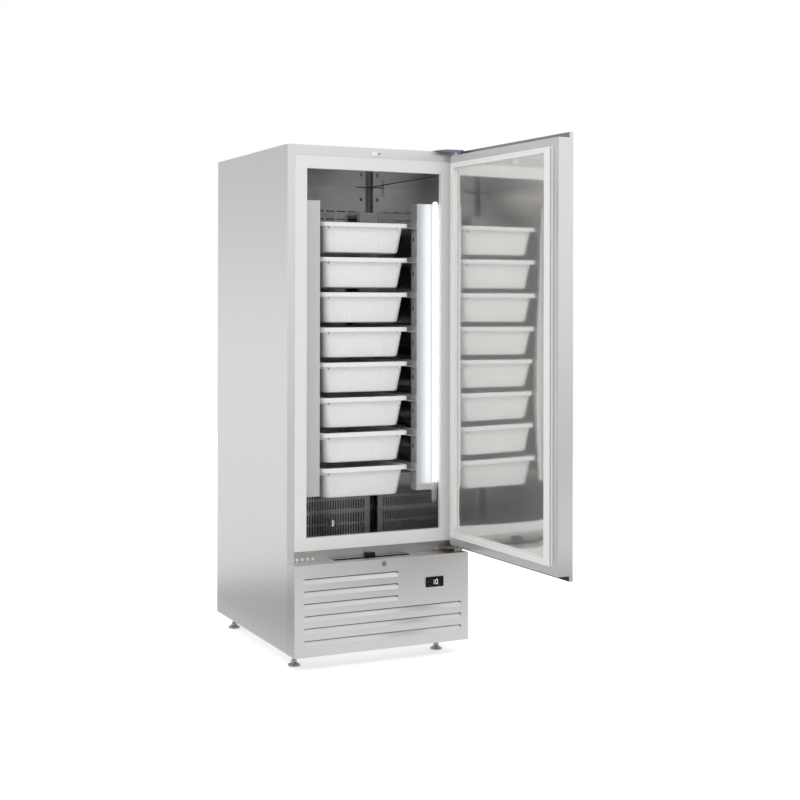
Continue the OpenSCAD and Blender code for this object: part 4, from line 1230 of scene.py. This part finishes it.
@dataclass
class Door(Assembly):
    """Door in its open place: outer skin, inner pan, mirror sheet and seal."""

    sheet_y: float = -0.0170
    sheet_thickness: float = 0.0009
    seal_profile: tuple[Pair, ...] = (
        (0.0, 0.1), (0.0, 2.5), (1.0, 3.2), (6.0, 3.6), (7.0, 3.8), (6.4, 6.0), (7.2, 8.8),
        (2.2, 9.4), (1.6, 10.4), (1.6, 15.6), (2.6, 16.7), (13.0, 16.7), (14.0, 16.1),
        (14.6, 15.2), (15.2, 16.1), (16.2, 16.7), (28.5, 16.7), (29.6, 15.8), (29.8, 10.0),
        (28.8, 9.2), (25.4, 8.8), (24.6, 6.0), (25.2, 3.8), (32.0, 3.0), (34.0, 2.4), (34.0, 0.1))
    seal_box: tuple[float, float, float, float] = (-0.335, 0.346, 0.459, 1.939)
    seal_shares: tuple[float, float, float, float] = (1.09, 0.80, 0.82, 0.70)
    columns: int = 96
    rows: int = 216
    hidden: float = 0.015
    tucked: float = 0.0083
    lift_width: float = 0.16
    lift_slope: float = 0.004
    # Section in mm of the grey loop in the seal's recess; its grey is painted shade of the fold.
    fold: tuple[Pair, ...] = ((6.2, 4.0), (6.2, 8.6), (7.6, 8.6), (7.6, 4.0))
    lip: float = 0.0188
    lip_drop: float = 0.020
    lip_box: tuple[Point, Point] = ((-0.3685, -0.0653, 0.4072), (0.3685, -0.0648, 1.990))

    def place(self) -> Matrix:
        """Turn from the closed door to the stored open one, from the record's hinge.

        Returns:
            The turn.
        """
        hinge = next(joint for joint in frame["record"]["behaviour"]["joints"]
                     if joint["name"] == "door_hinge")
        pivot = Matrix.Translation((*hinge["pos_m"][:2], 0.0))
        turn = Matrix.Rotation(math.radians(-hinge["range_deg"][0]), 4, "Z")
        return pivot @ turn @ pivot.inverted()

    def wave(self, x: float, z: float, low: Vector, high: Vector) -> float:
        """Height of the mirror sheet above its plane.

        Args:
            x: Place along the width.
            z: Place along the height.
            low: Lowest corner of the sheet.
            high: Highest corner of the sheet.

        Returns:
            The height in metres.
        """
        def eased(distance: float, ramp: float) -> float:
            """Rises from 0 to 1 over a ramp."""
            share = max(0.0, min(1.0, distance / ramp))
            return share * share * (3 - 2 * share)

        u, v = x - low.x, z - low.z
        hidden = (eased(u, self.hidden) * eased(high.x - x, self.hidden)
                  * eased(v, self.hidden) * eased(high.z - z, self.hidden))
        swell = math.exp(-(((z - 1.10) / 0.30) ** 2))
        pillow = (0.0009 + 0.0008 * swell) * eased(u - self.hidden, 0.055 + 0.060 * swell)
        lifted = max(0.0, self.lift_width - (high.x - x))
        lift = self.lift_slope * lifted * lifted / (2 * self.lift_width)
        long = math.sin(2 * math.pi * (v / 0.62 + 0.15) + 0.8 * math.sin(2 * math.pi * u / 0.9))
        low_part = math.exp(-((v / 0.14) ** 2))
        ripple = low_part * math.sin(2 * math.pi * (v / 0.11 + u / 0.5))
        return hidden * (pillow + lift + 0.0002 * long + 0.00035 * ripple)

    def mirror(self) -> None:
        """Makes the polished inner sheet with its slow waves."""
        x0, x1, z0, z1 = self.seal_box
        low = Vector((x0 + self.tucked, 0.0, z0 + self.tucked))
        high = Vector((x1 - self.tucked, 0.0, z1 - self.tucked))
        place = self.place()
        front, back = [], []
        for row in range(self.rows + 1):
            z = low.z + (high.z - low.z) * row / self.rows
            for column in range(self.columns + 1):
                x = low.x + (high.x - low.x) * column / self.columns
                rise = self.wave(x, z, low, high)
                under = min(rise, 0.0) - self.sheet_thickness
                front.append(tuple(place @ Vector((x, self.sheet_y + rise, z))))
                back.append(tuple(place @ Vector((x, self.sheet_y + under, z))))
        wide, count = self.columns + 1, len(front)
        faces = []
        for row in range(self.rows):
            for a in range(row * wide, row * wide + self.columns):
                faces.append((a, a + wide, a + wide + 1, a + 1))
                faces.append(tuple(count + i for i in (a, a + 1, a + wide + 1, a + wide)))
        last = self.rows * wide
        border = [*range(wide), *range(2 * wide - 1, last + wide, wide),
                  *range(last + wide - 2, last - 1, -1), *range(last - wide, 0, -wide)]
        faces += [(i, j, j + count, i + count) for i, j in zip(border, border[1:] + border[:1])]
        mesh = bpy.data.meshes.new("mirror_sheet")
        mesh.from_pydata(front + back, [], faces)
        mesh.validate()
        self.dresser.hand_in("mirror_sheet", mesh, "mirror", "door", ["door_liner"])

    def loop(self, profile: Sequence[Pair]) -> bpy.types.Mesh:
        """Runs a profile round the door with mitred corners.

        Args:
            profile: Pairs of inset from the seal's edge and height over the sheet, in mm.

        Returns:
            The mesh.
        """
        x0, x1, z0, z1 = self.seal_box
        place = self.place()
        rings = []
        for inset, height in profile:
            y = self.sheet_y + height / 1000
            a, b, c, d = (inset / 1000 * share for share in self.seal_shares)
            rings.append([tuple(place @ Vector((x, y, z))) for x, z in
                          ((x0 + a, z0 + c), (x1 - b, z0 + c), (x1 - b, z1 - d), (x0 + a, z1 - d))])
        shape = Shape()
        shape.skin(rings, closed=True)
        return shape.mesh_data("loop")

    def lips(self) -> None:
        """Lays the film on the inner faces of the skin's upper and lower edge."""
        low, high = self.lip_box
        # Upper strip: warm painted reflection. Lower strip: near-black painted reflection of the
        # dark floor.
        for name, finish, z in (("upper", "lip_top", high[2] - self.lip_drop),
                                ("lower", "lip_low", low[2])):
            shape = Shape()
            shape.block((*low[:2], z), (*high[:2], z + self.lip))
            bmesh.ops.transform(shape.mesh, matrix=self.place(), verts=shape.mesh.verts)
            self.dresser.hand_in("door_lip_" + name, shape.mesh_data("lip"), finish, "door",
                                 slot="steel_satin")

    def build(self) -> None:
        """Softens the folded sheets and makes the mirror, the seal with its fold and the films."""
        self.dresser.eased("door_edge", 0.0012, "door_skin", segments=3)
        self.dresser.eased("door_edge", 0.0010, "door_pan", segments=3)
        self.dresser.paint("foam", "door_core")
        self.dresser.paint("bush", "door_bushes")
        self.mirror()
        self.dresser.hand_in("door_seal", self.loop(self.seal_profile), "seal", "door",
                             ["door_gasket"], crease=24.0)
        # Grey loop laid in the seal's recess: painted shade of the fold.
        self.dresser.hand_in("door_seal_fold", self.loop(self.fold), "fold", "door",
                             slot="seal_white")
        self.lips()


@dataclass
class Hinges(Assembly):
    """Hinge plates and the switch above the opening."""

    screw_x: Pair = (0.2746, 0.2626)
    screw_y: float = -0.0046
    screw_z: float = 0.408

    def build(self) -> None:
        """Softens the plates and paints the small parts."""
        self.dresser.eased("hinge", 0.0006, "top_hinge")
        self.dresser.eased("hinge_low", 0.0006, "lower_hinge")
        self.screws("lower_hinge_screws", [((x, self.screw_y, self.screw_z), (0, -1, 0))
                                           for x in self.screw_x], 0.0042, "chrome")
        self.dresser.paint("bush", "hinge_bearing")
        self.dresser.eased("white_part", 0.0008, "door_switch")
        self.dresser.paint("grey_part", "switch_plunger")


@dataclass
class FrontPanel(Assembly):
    """Lower panel with its lock and display, and the spare hinge holes above it."""

    hole_x: tuple[float, ...] = (-0.328, -0.306, -0.284, -0.262)
    hole_z: float = 0.408
    display: Point = (0.220, -0.083, 0.296)
    segment: float = 0.0016
    digit_width: float = 0.0085
    digit_height: float = 0.0175
    gap: float = 0.007
    marks: tuple[Pair, ...] = ((-0.029, 0.002), (-0.025, -0.014), (0.019, -0.013))
    lit: dict[str, str] = field(default_factory=lambda: {"1": "bc", "0": "abcdef"})
    mark_half: Pair = (0.002, 0.0018)
    text: str = "10"
    key_z: float = 0.3835
    key_slot: Pair = (0.0014, 0.0076)
    nut: tuple[Pair, ...] = (
        (0.0026, -0.010), (0.0034, -0.010), (0.0034, 0.0001), (0.0056, 0.0001),
        (0.0058, 0.0006), (0.0054, 0.0011), (0.0034, 0.0013), (0.0028, 0.0008))

    def build(self) -> None:
        """Softens the edges of the parts and adds the nuts, the key slot and the display."""
        for finish, width, node in (
                ("panel", 0.0006, "front_panel"), ("black_part", 0.0009, "controller"),
                ("chrome", 0.0005, "lock_housing"), ("plug", 0.0003, "lock_plug"),
                ("black_part", 0.0008, "door_sensor")):
            self.dresser.eased(finish, width, node)
        shape = Shape()
        for x in self.hole_x:
            shape.turned(self.nut, (x, 0.0, self.hole_z), (0, -1, 0), 28, closed=True)
        self.dresser.hand_in("rivet_nuts", shape.mesh_data("rivet_nuts"), "chrome",
                             slot="steel_zinc", crease=50.0)
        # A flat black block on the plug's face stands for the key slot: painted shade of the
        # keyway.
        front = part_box("lock_plug")[0].y
        wide, tall = (size / 2 for size in self.key_slot)
        shape = Shape()
        shape.block((-wide, front - 0.0001, self.key_z - tall),
                    (wide, front + 0.001, self.key_z + tall))
        self.dresser.hand_in("lock_key_slot", shape.mesh_data("key_slot"), "black_part",
                             "lock_plug", slot="chrome")
        self.lit_digits()
        shape = Shape()
        x, face, z = self.display
        half_x, half_z = self.mark_half
        for aside, above in self.marks:
            shape.block((x + aside - half_x, face - 0.0002, z + above - half_z),
                        (x + aside + half_x, face + 0.0002, z + above + half_z), 0.0001)
        self.dresser.hand_in("display_marks", shape.mesh_data("marks"), "mark",
                             slot="black_plastic")

    def lit_digits(self) -> None:
        """Makes the lit segments of a generic number."""
        x, face, z = self.display
        w, h = self.digit_width, self.digit_height
        thick, short = self.segment / 2, -self.segment / 2 - 0.0002
        bars = {"a": (0, h, w, h), "b": (w, h / 2, w, h), "c": (w, 0, w, h / 2),
                "d": (0, 0, w, 0), "e": (0, 0, 0, h / 2), "f": (0, h / 2, 0, h)}
        shape = Shape()
        for place, digit in enumerate(self.text):
            left, foot = x - w - self.gap / 2 + place * (w + self.gap), z - h / 2
            for name in self.lit[digit]:
                x0, z0, x1, z1 = bars[name]
                grow_x = thick if x0 == x1 else short
                grow_z = thick if z0 == z1 else short
                shape.block((left + x0 - grow_x, face - 0.0003, foot + z0 - grow_z),
                            (left + x1 + grow_x, face + 0.0002, foot + z1 + grow_z))
        self.dresser.hand_in("display_digits", shape.mesh_data("digits"), "digits",
                             slot="black_plastic")


@dataclass
class Coil(Assembly):
    """Fins on one tube that runs to and fro."""

    node: str
    fins: int
    rows: int
    tube: float
    finish: str
    feet: float = 0.0
    thickness: float = 0.0004
    margin: float = 0.003
    end_plate: float = 0.001

    def path(self, low: Vector, high: Vector) -> list[Point]:
        """Middle line of the tube.

        Args:
            low: Lowest corner of the fins.
            high: Highest corner of the fins.

        Returns:
            Its points, in order.
        """
        pitch = (high.z - low.z) / self.rows
        y = (low.y + high.y) / 2
        points: list[Point] = []
        for row in range(self.rows):
            z = low.z + (row + 0.5) * pitch
            ends = (high.x, low.x) if row % 2 == 0 else (low.x, high.x)
            points += [(ends[0], y, z), (ends[1], y, z)]
            if row < self.rows - 1:
                side = -1 if row % 2 == 0 else 1
                points += [(ends[1] + side * pitch / 2 * math.sin(a), y,
                            z + pitch / 2 * (1 - math.cos(a)))
                           for a in (math.pi * step / 8 for step in range(1, 8))]
        return points

    def build(self) -> None:
        """Makes the coil in place of its CAD node."""
        low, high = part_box(self.node)
        bend = (high.z - low.z - self.feet) / self.rows / 2 + self.tube / 2
        low = Vector((low.x + bend, low.y, low.z + self.feet))
        high = Vector((high.x - bend, high.y, high.z))
        shape = Shape()
        shape.tube(self.path(low, high), self.tube / 2)
        for x in (low.x, high.x - self.end_plate):
            shape.block((x, low.y, low.z - self.feet), (x + self.end_plate, high.y, high.z))
        size, middle = high - low, (low + high) / 2
        recipe = Recipe(self.node + "_fins", Fins=self.fins, Width=size.x - 2 * self.margin,
                        Thickness=self.thickness, Depth=size.y, Height=size.z)
        given = recipe.given
        pitch = recipe.calc("DIVIDE", given["Width"], recipe.calc("SUBTRACT", given["Fins"], 1.0))
        line = recipe.line("Fins", (low.x + self.margin, middle.y, middle.z),
                           recipe.triple(pitch, 0.0, 0.0))
        plate = recipe.made("GeometryNodeMeshCube", {
            "Size": recipe.triple(given["Thickness"], given["Depth"], given["Height"])})
        both = recipe.add("GeometryNodeJoinGeometry")
        for geometry in (given["Geometry"], recipe.copies(line, plate)):
            recipe.put(geometry, both.inputs[0])
        recipe.end(both.outputs[0], self.dresser.palette[self.finish])
        self.dresser.hand_in(self.node + "_fins", recipe.run(shape.mesh_data(self.node)), None,
                             nodes=[self.node], crease=40.0)


@dataclass
class MachineRoom(Assembly):
    """Condensing unit and evaporator parts behind the panels."""

    def build(self) -> None:
        """Paints the machinery and makes the two coils."""
        self.dresser.paint("galvanised", "condenser_shroud", "drip_tray")
        self.dresser.paint("aluminium", "condenser_fan")
        self.dresser.paint("grey_part", "evaporator_fan")
        self.dresser.paint("black_metal", "evaporator_motor", "compressor", "condenser_motor")
        self.dresser.paint("copper", "refrigerant_pipes")
        Coil(self.dresser, "condenser", 104, 6, 0.009, "black_metal", 0.0167).build()
        Coil(self.dresser, "evaporator_coil", 110, 5, 0.010, "aluminium").build()


@dataclass
class Feet(Assembly):
    """Adjusting feet."""

    profile: tuple[Pair, ...] = (
        (0.0005, 0.0), (0.0225, 0.0), (0.0236, 0.0006), (0.0240, 0.0020), (0.0239, 0.0050),
        (0.0226, 0.0072), (0.0180, 0.0092), (0.0135, 0.0120), (0.0112, 0.0160), (0.0104, 0.0205),
        (0.0104, 0.0238), (0.0096, 0.0250), (0.0062, 0.0252), (0.0060, 0.0260), (0.0060, 0.0860),
        (0.0005, 0.0860))

    def build(self) -> None:
        """Makes each foot: a flared disc, a collar and a stem."""
        for node in (f"foot_{end}_{side}" for end in ("front", "rear")
                     for side in ("left", "right")):
            low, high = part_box(node)
            shape = Shape()
            shape.turned(self.profile, ((low.x + high.x) / 2, (low.y + high.y) / 2, low.z),
                         (0, 0, 1), 40)
            self.dresser.hand_in(node + "_turned", shape.mesh_data(node), "foot",
                                 self.dresser.bodies[node], [node], crease=40.0)


def main() -> None:
    """Builds the studio and dresses the cabinet, one sub-assembly after another."""
    logging.basicConfig(level=logging.INFO, format="%(message)s")
    Studio().build()
    dresser = Dresser(Palette())
    for assembly in (Shell, Vents, Cavity, Rack, Lamp, Tubs, Door, Hinges, FrontPanel,
                     MachineRoom, Feet):
        LOG.info("dressing: %s", assembly.__doc__.splitlines()[0])
        assembly(dresser).build()


if __name__ == "__main__":
    main()
